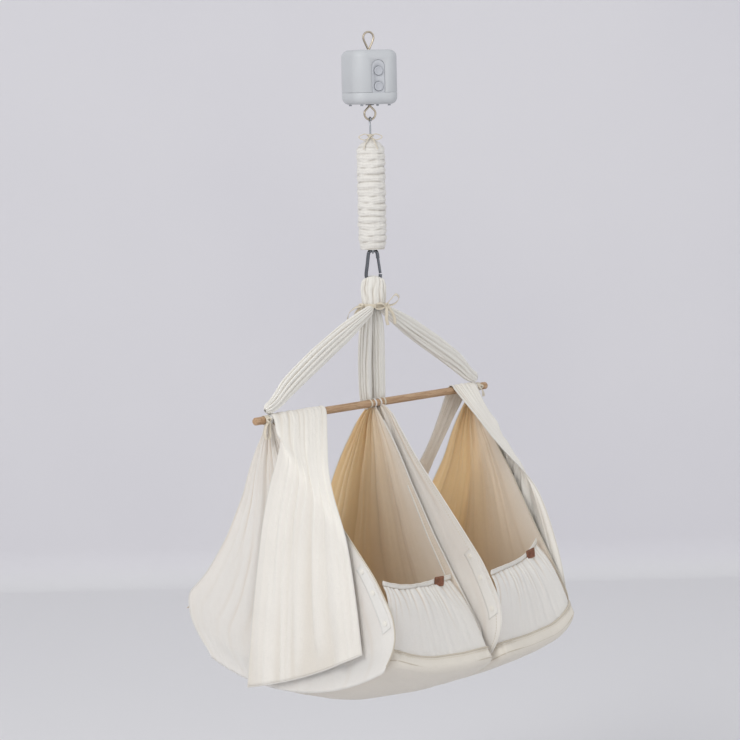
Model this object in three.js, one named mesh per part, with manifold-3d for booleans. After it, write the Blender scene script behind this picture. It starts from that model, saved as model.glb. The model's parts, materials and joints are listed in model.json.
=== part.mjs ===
// Hanging twin baby cradle: a motor unit, an extension spring in a ruched sleeve, a snap hook,
// a cloth sling with a spreader bar, and two cloth cradles that swing on the bar.
// Millimetres, +Z up. The origin is where the ceiling hook bears inside the top eye.
// +X runs along the bar, -Y is the foot end with the aprons, +Y is the head end.
import * as THREE from "three";
import { mergeVertices } from "three/addons/utils/BufferGeometryUtils.js";
import Module from "manifold-3d";

const wasm = await Module();
wasm.setup();

// Common sizes
const clearance = 0.3;
const overrun = 1;
const clothThickness = 2;
const tapeThickness = 1.6;
const smoothSides = 20;
const smallSides = 12;
const wireSides = 6;
const barSides = 16;

// Motor unit
const motorYawDegrees = -25;
const housingWidth = 107;
const housingHeight = 120;
const housingCornerRadius = 28;
const housingEdgeRadius = 16;
const housingWall = 2.5;
const housingBaseHeight = 26;
const eyeWire = 4.5;
const topEyeWidth = 29;
const topEyeRise = 37.5;
const lowerEyeWidth = 31;
const lowerEyeHeight = 36;
const stemDiameter = 7;
const nutWidth = 16;
const nutHeight = 6;
const chassisWidth = 70;
const chassisDepth = 56;
const chassisPlate = 3;
const guideRodDiameter = 5;
const guideRodSpacing = 54;
const crankRadius = 12;
const crankRestDegrees = 45;
const crankDiscDiameter = 36;
const crankDiscThickness = 4;
const rollerDiameter = 8;
const slotClearance = 0.6;
const carriageWidth = 66;
const carriageHeight = 26;
const carriageThickness = 6;
const gearboxWidth = 50;
const gearboxHeight = 52;
const motorCanDiameter = 30;
const motorCanLength = 22;
const gearboxDepth = 15;
const shaftDiameter = 6;
const boardWidth = 46;
const boardHeight = 70;
const boardThickness = 1.6;
const boardStandoff = 6;
const boardBossDiameter = 5;
const boardBossSpacing = 44;
const panelWidth = 31;
const panelHeight = 82;
const panelThickness = 4;
const panelGroove = 1.2;
const panelDrop = 63.5;
const buttonDiameter = 20;
const buttonRise = 3;
const buttonSpacing = 34;
const buttonTravel = 1.5;
const buttonDishDepth = 1;
const buttonRimWidth = 2.5;
const portWidth = 10;
const portHeight = 15;
const portRise = 2;
const portDrop = 38;
const portCornerRadius = 3;
const screwDiameter = 4;
const screwHeadDiameter = 7;
const screwHeadHeight = 3;
const screwLength = 16;
const screwInset = 20.5;
const postDiameter = 9;
const postGap = 3;
const bushRim = 3;
const bushFlange = 1.5;

// Spring, its hooks and its sleeve
const hookWire = 4;
const springWire = 4;
const springDiameter = 44;
const springCoils = 11;
const springTopDrop = 237;
const springBottomDrop = 453;
const hookHeadDiameter = 20;
const hookHeadHeight = 5;
const sleeveDiameter = 69;
const sleeveTopDrop = 223;
const sleeveBottomDrop = 480;
const sleeveCordDrop = 4;
const sleeveShoulder = 30;
const sleeveFoldDepth = 2.2;
const sleeveFolds = 7;
const sleeveRimDiameter = 11;
const sleeveMouthDiameter = 56;
const sleeveCloth = 1.6;
const cordDiameter = 3;
const bowLength = 26;
const bowTurnDegrees = 42;

// Snap hook
const lowerYawDegrees = -46;
const snapHookHeight = 80;
const snapHookWire = 8;
const snapHookNarrowRadius = 10;
const snapHookWideRadius = 16;
const snapHookTopDrop = 478;
const gateDiameter = 6.4;
const gateEndGap = 2;

// Sling and spreader bar
const barDrop = 826;
const barLength = 780;
const barDiameter = 17;
const barTipLength = 14;
const barTipDiameter = 12;
const barGrooveWidth = 4;
const barGrooveDepth = 1.5;
const slingTopBelowCentre = 3;
const apexDrop = 606;
const apexTieHeight = 10;
const slingNeckWidth = 54;
const slingNeckDepth = 38;
const slingHeadWidth = 57;
const slingHeadDepth = 40;
const slingArmWidth = 50;
const slingArmDepth = 26;
const slingStartWidth = 19;
const slingStartDepth = 15;
const slingEndWidth = 24;
const slingEndDepth = 18;
const centreSlingWidth = 27;
const centreSlingDepth = 21;
const armTieFromEnd = 34;
const loopWidth = 14;
const centreLoopWidth = 5;

// Cradles
const hullRadius = 645;
const cradleWidth = 317;
const cradleInset = 6;
const frontAngleDegrees = 33.5;
const backAngleDegrees = 34;
const outerLift = 62;
const trayHeight = 34;
const trayCloth = 2.4;
const trayCornerRadius = 16;
const mattressThickness = 40;
const mattressCrown = 7;
const mattressMargin = 6;
const wallPleatDepth = 5;
const wallPleats = 5;
const wallTopX = 8.5;
const outerWallRadius = 598;
const innerWallRadius = 630;
const flapAngleDegrees = 42;
const seamAngleDegrees = 32;
const wallBackAngleDegrees = 34;
const apronHeight = 175;
const apronFlapDrop = 27;
const apronBulge = 12;
const apronRuffleDepth = 4;
const apronRuffles = 7;
const apronMargin = 9;
const casingWidth = 11;
const casingThickness = 6;
const tabWidth = 28;
const tabHeight = 22;
const tabThickness = 2.4;
const tabFromSeam = 74;
const snapDiameter = 11;
const snapThickness = 2.4;
const canopyCloth = 1.6;
const canopyFoldDepth = 9;
const canopyFolds = 4;
const canopyBarStart = 160;
const canopyBarWidth = 146;
const leftHemFront = 238;
const rightHemFront = 270;
const canopyHemBack = 112;
const leftHemDropFront = 492;
const rightHemDropFront = 455;
const canopyHemDropBack = 600;
const canopyWallGap = 10;
const canopyCrossNear = 66;
const leftCrossFar = 300;
const rightCrossFar = 470;
const leftDrapeDegrees = 45.4;
const rightDrapeDegrees = 38.5;
const canopyHeadDegrees = 25;

const degree = Math.PI / 180;
const fullTurn = 2 * Math.PI;
const barRadius = barDiameter / 2;
const housingBottomDrop = topEyeRise + housingHeight;
const lowerEyeDrop = housingBottomDrop + lowerEyeHeight - eyeWire / 2;
const snapHookTopWireDrop = snapHookTopDrop + snapHookWire / 2;
const snapHookNarrowDrop = snapHookTopWireDrop + snapHookNarrowRadius;
const snapHookWideDrop = snapHookTopDrop + snapHookHeight - snapHookWire / 2 - snapHookWideRadius;
const motorYaw = motorYawDegrees * degree;
const lowerYaw = lowerYawDegrees * degree;

// Colours and finishes
const finishes = {
  shell: { color: 0xd4d5d8, roughness: 0.55, metalness: 0 },
  dark: { color: 0x5d6066, roughness: 0.5, metalness: 0 },
  board: { color: 0x2f6b45, roughness: 0.6, metalness: 0 },
  steel: { color: 0xa9adb3, roughness: 0.35, metalness: 1 },
  nickel: { color: 0xb3a894, roughness: 0.3, metalness: 1 },
  cover: { color: 0x8d7466, roughness: 0.6, metalness: 0 },
  cotton: { color: 0xe9e3d6, roughness: 0.9, metalness: 0 },
  tape: { color: 0xd9cdb4, roughness: 0.9, metalness: 0 },
  padding: { color: 0xf0ede6, roughness: 0.95, metalness: 0 },
  beech: { color: 0xc79f78, roughness: 0.5, metalness: 0 },
  leather: { color: 0x8a5a3c, roughness: 0.6, metalness: 0 },
};

function mix(from, to, share) {
  return from + (to - from) * share;
}

function smooth(share) {
  return share * share * (3 - 2 * share);
}

// Value at a share along a table of [share, value] rows, straight between rows
function along(tableShares, share) {
  const next = tableShares.findIndex((row) => row[0] >= share);
  if (next <= 0) return tableShares[next === 0 ? 0 : tableShares.length - 1][1];
  const [start, from] = tableShares[next - 1];
  const [end, to] = tableShares[next];
  return mix(from, to, (share - start) / (end - start));
}

// Closed body from points and triangles, turned so that its faces point out
function closedBody(points, triangles) {
  const volume = triangles.reduce((sum, [a, b, c]) => {
    return sum + points[a].dot(new THREE.Vector3().crossVectors(points[b], points[c]));
  }, 0);
  const order = volume < 0 ? triangles.map(([a, b, c]) => [a, c, b]) : triangles;
  const geometry = new THREE.BufferGeometry();
  geometry.setAttribute("position", new THREE.Float32BufferAttribute(points.flatMap((p) => p.toArray()), 3));
  geometry.setIndex(order.flat());
  return geometry;
}

function plain(geometry) {
  const copy = geometry.clone();
  copy.deleteAttribute("normal");
  copy.deleteAttribute("uv");
  return mergeVertices(copy);
}

function toSolid(geometry) {
  const merged = plain(geometry);
  return new wasm.Manifold(new wasm.Mesh({
    numProp: 3,
    vertProperties: new Float32Array(merged.attributes.position.array),
    triVerts: new Uint32Array(merged.index.array),
  }));
}

function toGeometry(solid) {
  const mesh = solid.getMesh();
  const geometry = new THREE.BufferGeometry();
  geometry.setAttribute("position", new THREE.BufferAttribute(new Float32Array(mesh.vertProperties), 3));
  geometry.setIndex(Array.from(mesh.triVerts));
  return geometry;
}

function cut(body, ...tools) {
  return toGeometry(tools.reduce((solid, tool) => solid.subtract(toSolid(tool)), toSolid(body)));
}

function join(...bodies) {
  return toGeometry(bodies.slice(1).reduce((solid, body) => solid.add(toSolid(body)), toSolid(bodies[0])));
}

function box(width, depth, height, x, y, z) {
  return new THREE.BoxGeometry(width, depth, height).translate(x, y, z);
}

// Round bar along Z, Y or X, centred on a point
function rod(diameter, length, axis, x, y, z, sides = smallSides) {
  const geometry = new THREE.CylinderGeometry(diameter / 2, diameter / 2, length, sides);
  if (axis === "z") geometry.rotateX(Math.PI / 2);
  if (axis === "x") geometry.rotateZ(Math.PI / 2);
  return geometry.translate(x, y, z);
}

// Ring about the X axis
function ringAboutX(innerRadius, outerRadius, width, x, y, z) {
  const half = width / 2;
  const profile = [
    [innerRadius, -half],
    [outerRadius, -half],
    [outerRadius, half],
    [innerRadius, half],
    [innerRadius, -half],
  ].map(([r, h]) => new THREE.Vector2(r, h));
  return new THREE.LatheGeometry(profile, barSides).rotateZ(-Math.PI / 2).translate(x, y, z);
}

function roundSection(diameter, sides) {
  const points = [];
  for (let i = 0; i < sides; i += 1) {
    const angle = (fullTurn * i) / sides;
    points.push(new THREE.Vector2(Math.cos(angle), Math.sin(angle)).multiplyScalar(diameter / 2));
  }
  return new THREE.Shape(points);
}

// Bent round wire or cord through points
function wire(points, diameter, steps, sides = wireSides) {
  const path = new THREE.CatmullRomCurve3(points, false, "centripetal");
  return new THREE.ExtrudeGeometry(roundSection(diameter, sides), { extrudePath: path, steps });
}

function roundedOutline(width, height, radius, segments) {
  const points = [];
  const corners = [[1, 1], [-1, 1], [-1, -1], [1, -1]];
  corners.forEach(([signX, signY], corner) => {
    for (let i = 0; i <= segments; i += 1) {
      const angle = ((corner + i / segments) * Math.PI) / 2;
      const x = signX * (width / 2 - radius) + radius * Math.cos(angle);
      const y = signY * (height / 2 - radius) + radius * Math.sin(angle);
      points.push(new THREE.Vector2(x, y));
    }
  });
  return new THREE.Shape(points);
}

// Block with rounded upright corners and rounded top and bottom edges, from z = 0 down
function roundedBlock(width, height, cornerRadius, edgeRadius, segments) {
  const outline = roundedOutline(width - 2 * edgeRadius, width - 2 * edgeRadius, cornerRadius - edgeRadius, segments);
  const geometry = new THREE.ExtrudeGeometry(outline, {
    depth: height - 2 * edgeRadius,
    bevelThickness: edgeRadius,
    bevelSize: edgeRadius,
    bevelSegments: segments,
  });
  return geometry.translate(0, 0, edgeRadius - height);
}

// Flat plate with a rounded outline in the XZ plane, its front face at y
function uprightPlate(width, height, radius, thickness, y, z, segments = 6) {
  const geometry = new THREE.ExtrudeGeometry(roundedOutline(width, height, radius, segments), {
    depth: thickness,
    bevelEnabled: false,
  });
  return geometry.rotateX(Math.PI / 2).translate(0, y + thickness, z);
}

// Thin closed sheet over a grid, with offset(u, v) giving half its thickness as a vector
function sheet(pointAt, offsetAt, columns, rows, around = false) {
  const points = [];
  const triangles = [];
  const across = around ? columns : columns + 1;
  for (const side of [1, -1]) {
    for (let row = 0; row <= rows; row += 1) {
      for (let column = 0; column < across; column += 1) {
        const u = column / columns;
        const v = row / rows;
        points.push(pointAt(u, v).addScaledVector(offsetAt(u, v), side));
      }
    }
  }
  const layer = across * (rows + 1);
  const at = (row, column, side) => side * layer + row * across + (column % across);
  for (let row = 0; row < rows; row += 1) {
    for (let column = 0; column < columns; column += 1) {
      const quad = (side) => [at(row, column, side), at(row, column + 1, side), at(row + 1, column + 1, side), at(row + 1, column, side)];
      const [a, b, c, d] = quad(0);
      const [e, f, g, h] = quad(1);
      triangles.push([a, b, c], [a, c, d], [e, g, f], [e, h, g]);
    }
  }
  const seam = (a, b, c, d) => triangles.push([a, c, b], [b, c, d]);
  for (let column = 0; column < columns; column += 1) {
    seam(at(0, column, 0), at(0, column + 1, 0), at(0, column, 1), at(0, column + 1, 1));
    seam(at(rows, column + 1, 0), at(rows, column, 0), at(rows, column + 1, 1), at(rows, column, 1));
  }
  if (!around) {
    for (let row = 0; row < rows; row += 1) {
      seam(at(row + 1, 0, 0), at(row, 0, 0), at(row + 1, 0, 1), at(row, 0, 1));
      seam(at(row, columns, 0), at(row + 1, columns, 0), at(row, columns, 1), at(row + 1, columns, 1));
    }
  }
  return closedBody(points, triangles);
}

// Solid through a row of closed rings, with a fan at each end
function skin(rings) {
  const count = rings[0].length;
  const points = rings.flat();
  const triangles = [];
  for (let ring = 0; ring < rings.length - 1; ring += 1) {
    for (let i = 0; i < count; i += 1) {
      const a = ring * count + i;
      const b = ring * count + ((i + 1) % count);
      const short = points[a].distanceTo(points[b + count]) <= points[b].distanceTo(points[a + count]);
      if (short) triangles.push([a, b, b + count], [a, b + count, a + count]);
      else triangles.push([a, b, a + count], [b, b + count, a + count]);
    }
  }
  [0, rings.length - 1].forEach((ring) => {
    const centre = rings[ring].reduce((sum, p) => sum.add(p), new THREE.Vector3()).divideScalar(count);
    const hub = points.push(centre) - 1;
    for (let i = 0; i < count; i += 1) {
      const a = ring * count + i;
      const b = ring * count + ((i + 1) % count);
      triangles.push(ring === 0 ? [hub, b, a] : [hub, a, b]);
    }
  });
  return closedBody(points, triangles);
}

// Gathered cloth bundle along a path, its width lying along one direction, with lengthwise pleats
function bundle(stations, widthDirection, pleats, pleatShare) {
  const sides = 4 * pleats;
  const rings = stations.map(({ at, width, depth }, index) => {
    const before = stations[Math.max(index - 1, 0)].at;
    const after = stations[Math.min(index + 1, stations.length - 1)].at;
    const forward = after.clone().sub(before).normalize();
    if (index === 0) forward.set(0, 0, -1);
    const across = widthDirection.clone().addScaledVector(forward, -widthDirection.dot(forward)).normalize();
    const through = new THREE.Vector3().crossVectors(forward, across);
    const ring = [];
    for (let i = 0; i < sides; i += 1) {
      const angle = (fullTurn * i) / sides;
      const swell = 1 - pleatShare * (1 - Math.cos(pleats * angle));
      ring.push(at.clone()
        .addScaledVector(across, (width / 2) * Math.cos(angle) * swell)
        .addScaledVector(through, (depth / 2) * Math.sin(angle) * swell));
    }
    return ring;
  });
  return skin(rings);
}

const cradlePart = new THREE.Group();
const motorUnit = new THREE.Group();
motorUnit.rotation.z = motorYaw;
cradlePart.add(motorUnit);
const lowerUnit = new THREE.Group();
lowerUnit.rotation.z = lowerYaw;
cradlePart.add(lowerUnit);

function place(name, finish, geometry, parent = cradlePart) {
  const mesh = new THREE.Mesh(geometry, new THREE.MeshStandardMaterial(finishes[finish]));
  mesh.name = name;
  parent.add(mesh);
}

// Motor unit: heights are below the origin
const housingTop = -topEyeRise;
const housingBottom = -housingBottomDrop;
const seamHeight = housingBottom + housingBaseHeight;
const frontFace = -housingWidth / 2;
const panelCentre = housingTop - panelDrop;
const chassisTop = housingTop - housingWall - clearance;
const chassisBottom = housingBottom + housingWall + clearance;
const crankHeight = (chassisTop + chassisBottom) / 2;
const boardFront = frontFace + panelGroove + panelThickness + boardStandoff;

function panelOpening() {
  return uprightPlate(panelWidth + 2 * clearance, panelHeight + 2 * clearance,
    panelWidth / 2 + clearance, housingWall + 2 * overrun, frontFace - overrun, panelCentre);
}

function portOpening() {
  const depth = housingWall + 2 * overrun;
  return uprightPlate(portWidth, portHeight, portCornerRadius, depth, -depth / 2, 0)
    .rotateZ(Math.PI / 2)
    .translate(housingWidth / 2 - housingWall / 2, 0, housingTop - portDrop);
}

function housingShell() {
  const outer = roundedBlock(housingWidth, housingHeight, housingCornerRadius, housingEdgeRadius, 3);
  const inner = roundedBlock(housingWidth - 2 * housingWall, housingHeight - 2 * housingWall,
    housingCornerRadius - housingWall, housingEdgeRadius - housingWall, 2);
  const hollow = cut(outer, inner.translate(0, 0, -housingWall)).translate(0, 0, housingTop);
  const stemHole = rod(stemDiameter + 2 * clearance, 2 * housingHeight, "z", 0, 0, housingTop);
  const bushHole = rod(stemDiameter + 2 * bushRim, housingHeight, "z", 0, 0, housingBottom);
  return cut(hollow, stemHole, bushHole, panelOpening(), portOpening());
}

function seamBlock(fromHeight, upward) {
  const size = 2 * housingHeight;
  return box(size, size, size, 0, 0, fromHeight + (upward * size) / 2);
}

function screwPlaces() {
  const reach = housingWidth / 2 - screwInset;
  return [[1, 1], [-1, 1], [-1, -1], [1, -1]].map(([signX, signY]) => [signX * reach, signY * reach]);
}

// Bosses on the front wall that hold the circuit board behind the panel
function boardBosses() {
  const back = boardFront - clearance;
  const front = frontFace + housingWall / 2;
  const reach = (boardWidth - boardBossDiameter) / 2;
  return [[1, 1], [-1, 1], [-1, -1], [1, -1]].map(([signX, signZ]) => {
    return rod(boardBossDiameter, back - front, "y", signX * reach, (back + front) / 2, panelCentre + (signZ * boardBossSpacing) / 2, 8);
  });
}

function makeHousing() {
  const shell = housingShell();
  const holes = screwPlaces().map(([x, y]) => {
    return rod(screwDiameter + 2 * clearance, 2 * screwLength, "z", x, y, housingBottom, 8);
  });
  const postBottom = housingBottom + housingWall + postGap;
  const postTop = housingTop - housingWall + overrun;
  const posts = screwPlaces().map(([x, y]) => {
    return rod(postDiameter, postTop - postBottom, "z", x, y, (postTop + postBottom) / 2, 8);
  });
  const cover = cut(shell, seamBlock(seamHeight + clearance / 2, -1));
  place("housing_upper", "shell", cut(join(cover, ...posts, ...boardBosses()), ...holes), motorUnit);
  place("housing_base", "shell", cut(shell, seamBlock(seamHeight - clearance / 2, 1), ...holes), motorUnit);
  screwPlaces().forEach(([x, y], index) => {
    const head = rod(screwHeadDiameter, screwHeadHeight, "z", x, y, housingBottom - screwHeadHeight / 2 - clearance, 8);
    const shank = rod(screwDiameter, screwLength, "z", x, y, housingBottom + screwLength / 2 - screwHeadHeight, 8);
    place(`housing_screw_${index + 1}`, "steel", join(head, shank), motorUnit);
  });
}

// Drop-shaped wire eye on a stem: the eye's far inner face is at reach from the stem's eye end
function eyeGeometry(width, height, wireDiameter, stemLength) {
  const radius = (width - wireDiameter) / 2;
  const length = height - wireDiameter / 2;
  const centre = length - radius;
  const foot = wireDiameter / 2 + clearance;
  const points = [new THREE.Vector3(-stemDiameter / 4, 0, foot)];
  for (let i = 0; i <= 8; i += 1) {
    const angle = Math.PI + 0.35 - ((Math.PI + 0.7) * i) / 8;
    points.push(new THREE.Vector3(radius * Math.cos(angle), 0, centre + radius * Math.sin(angle)));
  }
  points.push(new THREE.Vector3(stemDiameter / 4, 0, foot));
  const stem = rod(stemDiameter, stemLength + foot, "z", 0, 0, (foot - stemLength) / 2);
  return join(wire(points, wireDiameter, 20), stem);
}

function makeTopEye() {
  const stemLength = housingWall + chassisPlate + nutHeight + 2 * clearance + overrun;
  const geometry = eyeGeometry(topEyeWidth, topEyeRise + eyeWire, eyeWire, stemLength);
  place("top_eye", "nickel", geometry.translate(0, 0, housingTop), motorUnit);
  const nutTop = chassisTop - chassisPlate - clearance;
  const nut = rod(nutWidth, nutHeight, "z", 0, 0, nutTop - nutHeight / 2, 6);
  const bore = rod(stemDiameter + 2 * clearance, 2 * nutHeight, "z", 0, 0, nutTop);
  place("eye_nut", "steel", cut(nut, bore), motorUnit);
}

// Steel frame that carries the load from the eye to the gearmotor and the guide rods
function makeChassis() {
  const height = chassisTop - chassisBottom;
  const back = chassisDepth / 2;
  const web = box(chassisWidth, chassisPlate, height, 0, back - chassisPlate / 2, (chassisTop + chassisBottom) / 2);
  const top = box(chassisWidth, chassisDepth, chassisPlate, 0, 0, chassisTop - chassisPlate / 2);
  const bottom = box(chassisWidth, chassisDepth, chassisPlate, 0, 0, chassisBottom + chassisPlate / 2);
  const stemHole = rod(stemDiameter + 2 * clearance, 4 * housingHeight, "z", 0, 0, housingTop);
  const shaftHole = rod(motorCanDiameter + 2 * clearance, chassisDepth, "y", 0, back, crankHeight, smoothSides);
  place("chassis", "steel", cut(join(web, top, bottom), stemHole, shaftHole), motorUnit);
  const rodLength = height - 2 * chassisPlate - 2 * clearance;
  for (const [name, side] of [["left", -1], ["right", 1]]) {
    const guide = rod(guideRodDiameter, rodLength, "z", (side * guideRodSpacing) / 2, 0, crankHeight, 12);
    place(`${name}_guide_rod`, "steel", guide, motorUnit);
  }
}

const crankFace = carriageThickness / 2 + 2 * clearance + carriageThickness / 3;
const gearboxFront = crankFace + crankDiscThickness + 2 * clearance;

function makeDrive() {
  const gearboxBack = chassisDepth / 2 - chassisPlate - clearance;
  const gearbox = box(gearboxWidth, gearboxBack - gearboxFront, gearboxHeight, 0, (gearboxBack + gearboxFront) / 2, crankHeight);
  const can = rod(motorCanDiameter, motorCanLength, "y", 0, gearboxBack - overrun + motorCanLength / 2, crankHeight, smoothSides);
  const shaftBore = rod(shaftDiameter + 2 * clearance, gearboxDepth, "y", 0, gearboxFront, crankHeight);
  place("gearmotor", "dark", cut(join(gearbox, can), shaftBore), motorUnit);
  const disc = rod(crankDiscDiameter, crankDiscThickness, "y", 0, crankFace + crankDiscThickness / 2, crankHeight, smoothSides);
  const shaft = rod(shaftDiameter, gearboxDepth / 2, "y", 0, crankFace + crankDiscThickness + gearboxDepth / 4 - clearance, crankHeight);
  const pinLength = carriageThickness + crankFace - carriageThickness / 2;
  const restAngle = crankRestDegrees * degree;
  const pin = rod(rollerDiameter, pinLength, "y", crankRadius * Math.cos(restAngle), crankFace - pinLength / 2 + clearance,
    crankHeight + crankRadius * Math.sin(restAngle));
  place("crank", "steel", join(disc, shaft, pin), motorUnit);
}

// Slotted carriage that the crank lifts and lowers along the guide rods
function makeCarriage() {
  const slotWidth = 2 * crankRadius + rollerDiameter + 2 * slotClearance;
  const height = crankHeight + crankRadius * Math.sin(crankRestDegrees * degree);
  const plate = box(carriageWidth, carriageThickness, carriageHeight, 0, 0, height);
  const slot = box(slotWidth, 2 * carriageThickness, rollerDiameter + 2 * slotClearance, 0, 0, height);
  const holes = [-1, 1].map((side) => {
    return rod(guideRodDiameter + 2 * clearance, 2 * carriageHeight, "z", (side * guideRodSpacing) / 2, 0, height);
  });
  const boss = [-1, 1].map((side) => {
    return rod(2 * guideRodDiameter, carriageHeight, "z", (side * guideRodSpacing) / 2, 0, height, 8);
  });
  place("lift_carriage", "dark", cut(join(plate, ...boss), slot, ...holes), motorUnit);
  const stemTop = height - carriageHeight / 2 - clearance;
  const eyeTop = housingBottom - bushFlange - 2 * clearance;
  const eye = eyeGeometry(lowerEyeWidth, lowerEyeHeight + eyeTop - housingBottom, eyeWire, stemTop - eyeTop);
  place("lower_eye", "nickel", eye.rotateX(Math.PI).translate(0, 0, eyeTop), motorUnit);
  const sleeveLength = housingWall + bushFlange;
  const outer = rod(stemDiameter + 2 * bushRim - 2 * clearance, sleeveLength, "z", 0, 0, housingBottom + housingWall - sleeveLength / 2);
  const flange = rod(stemDiameter + 4 * bushRim, bushFlange, "z", 0, 0, housingBottom - bushFlange / 2 - clearance);
  const bore = rod(stemDiameter + 2 * clearance, housingHeight, "z", 0, 0, housingBottom);
  place("stem_bush", "dark", cut(join(outer, flange), bore), motorUnit);
}

function makeControls() {
  const buttons = [["upper_button", 1], ["lower_button", -1]].map(([name, side]) => {
    return [name, panelCentre + (side * buttonSpacing) / 2];
  });
  const holes = buttons.map(([, height]) => {
    return rod(buttonDiameter + 2 * clearance, 4 * panelThickness, "y", 0, frontFace, height, smoothSides);
  });
  const panel = uprightPlate(panelWidth, panelHeight, panelWidth / 2, panelThickness, frontFace + panelGroove, panelCentre);
  place("control_panel", "shell", cut(panel, ...holes), motorUnit);
  const length = buttonRise + panelThickness;
  buttons.forEach(([name, height]) => {
    const front = frontFace + panelGroove - buttonRise;
    const body = rod(buttonDiameter, length, "y", 0, front + length / 2, height, smoothSides);
    const dish = rod(buttonDiameter - 2 * buttonRimWidth, 2 * buttonDishDepth, "y", 0, front, height, smoothSides);
    place(name, "shell", cut(body, dish), motorUnit);
  });
  const board = box(boardWidth, boardThickness, boardHeight, 0, boardFront + boardThickness / 2, panelCentre);
  const switches = buttons.map(([, height]) => {
    const reach = boardStandoff - buttonTravel - clearance;
    return box(reach, reach + overrun, reach, 0, boardFront - reach / 2 + overrun / 2, height);
  });
  place("circuit_board", "board", join(board, ...switches), motorUnit);
  const cover = uprightPlate(portWidth - 2 * clearance, portHeight - 2 * clearance, portCornerRadius - clearance,
    housingWall + portRise, 0, 0);
  cover.rotateZ(Math.PI / 2).translate(housingWidth / 2 + portRise, 0, housingTop - portDrop);
  place("port_cover", "cover", cover, motorUnit);
}

// Where the hook's shank straightens, in shares of its bend's radius
const shankShares = [2.6, 3.4, 4.4];

// Open wire hook round an eye: its bend is centred on the wire that it hangs on
function hookPoints(innerRadius, straight) {
  const radius = innerRadius + hookWire / 2;
  const points = [];
  for (let i = 0; i <= 8; i += 1) {
    const angle = (-40 + (250 * i) / 8) * degree;
    points.push(new THREE.Vector3(0, -radius * Math.cos(angle), radius * Math.sin(angle)));
  }
  shankShares.forEach((share) => points.push(new THREE.Vector3(0, 0, -share * radius)));
  points.push(new THREE.Vector3(0, 0, -straight));
  return points;
}

const springTop = -springTopDrop;
const springBottom = -springBottomDrop;
const springPitch = (springBottomDrop - springTopDrop) / springCoils;

function makeHooks() {
  const head = (height) => rod(hookHeadDiameter, hookHeadHeight, "z", 0, 0, height);
  const topReach = springTopDrop - lowerEyeDrop + springPitch + hookHeadHeight;
  const topBend = wire(hookPoints(eyeWire / 2 + clearance, topReach), hookWire, 18);
  const topHead = head(-topReach + hookHeadHeight / 2);
  place("top_hook", "steel", join(topBend, topHead).translate(0, 0, -lowerEyeDrop), motorUnit);
  const lowReach = snapHookTopWireDrop - springBottomDrop + springPitch + hookHeadHeight;
  const lowBend = wire(hookPoints(snapHookWire / 2 + 2 * clearance, lowReach), hookWire, 18);
  const lowHead = head(-lowReach + hookHeadHeight / 2);
  const lowHook = join(lowBend, lowHead).rotateX(Math.PI).translate(0, 0, -snapHookTopWireDrop);
  place("bottom_hook", "steel", lowHook, lowerUnit);
}

// Extension spring: one unbroken helix with a cone at each end that closes on the hook's shank
function springPath() {
  const stepsPerCoil = 8;
  const steps = springCoils * stepsPerCoil;
  const coilRadius = (springDiameter - springWire) / 2;
  const neckRadius = hookWire / 2 + springWire / 2 + 2 * clearance;
  const points = [];
  for (let i = 0; i <= steps; i += 1) {
    const angle = (fullTurn * i) / stepsPerCoil;
    const coilsFromEnd = Math.min(i, steps - i) / stepsPerCoil;
    const radius = mix(neckRadius, coilRadius, smooth(Math.min(coilsFromEnd / 1.5, 1)));
    const height = mix(springTop - springWire / 2, springBottom + springWire / 2, i / steps);
    points.push(new THREE.Vector3(radius * Math.cos(angle), radius * Math.sin(angle), height));
  }
  return points;
}

function makeSpring() {
  const path = springPath();
  const sides = 5;
  const rings = path.map((point, index) => {
    const before = path[Math.max(index - 1, 0)];
    const after = path[Math.min(index + 1, path.length - 1)];
    const forward = after.clone().sub(before).normalize();
    const outward = new THREE.Vector3(point.x, point.y, 0).normalize();
    outward.addScaledVector(forward, -outward.dot(forward)).normalize();
    const through = new THREE.Vector3().crossVectors(forward, outward);
    const ring = [];
    for (let i = 0; i < sides; i += 1) {
      const angle = (fullTurn * (i + 0.5)) / sides;
      ring.push(point.clone()
        .addScaledVector(outward, (springWire / 2) * Math.cos(angle))
        .addScaledVector(through, (springWire / 2) * Math.sin(angle)));
    }
    return ring;
  });
  place("spring", "steel", skin(rings));
  let leastGap = Infinity;
  for (let i = 0; i < path.length; i += 1) {
    for (let j = i + 5; j < path.length; j += 1) {
      leastGap = Math.min(leastGap, path[i].distanceTo(path[j]) - springWire);
    }
  }
  console.log(`spring least gap to itself ${leastGap.toFixed(1)} mm`);
}

// Ruched cotton sleeve over the spring, drawn in by a cord at the top
const sleeveLength = sleeveBottomDrop - sleeveTopDrop;
const sleeveRows = 22;
const sleeveWaistDiameter = hookWire + sleeveCloth + 2 * clearance;

// Distance below the sleeve's rim: the first row is at the cord, and the others are evenly spaced
function sleeveDrop(v) {
  const row = v * sleeveRows;
  return row < 1 ? row * sleeveCordDrop : mix(sleeveCordDrop, sleeveLength, (row - 1) / (sleeveRows - 1));
}

function sleeveRadius(u, fromTop) {
  if (fromTop <= sleeveCordDrop) return mix(sleeveRimDiameter, sleeveWaistDiameter, fromTop / sleeveCordDrop) / 2;
  const shoulder = smooth(Math.min((fromTop - sleeveCordDrop) / sleeveShoulder, 1));
  const mouth = smooth(Math.min((sleeveLength - fromTop) / sleeveShoulder, 1));
  const body = Math.min(mix(sleeveWaistDiameter, sleeveDiameter, shoulder), mix(sleeveMouthDiameter, sleeveDiameter, mouth)) / 2;
  const swirlShare = 0.22 * Math.sin(fullTurn * 2 * u) + 0.15 * Math.sin(fullTurn * 3 * u);
  const phase = fullTurn * ((sleeveFolds * fromTop) / sleeveLength + swirlShare);
  return body + sleeveFoldDepth * Math.sin(phase) * shoulder * mouth;
}

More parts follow.
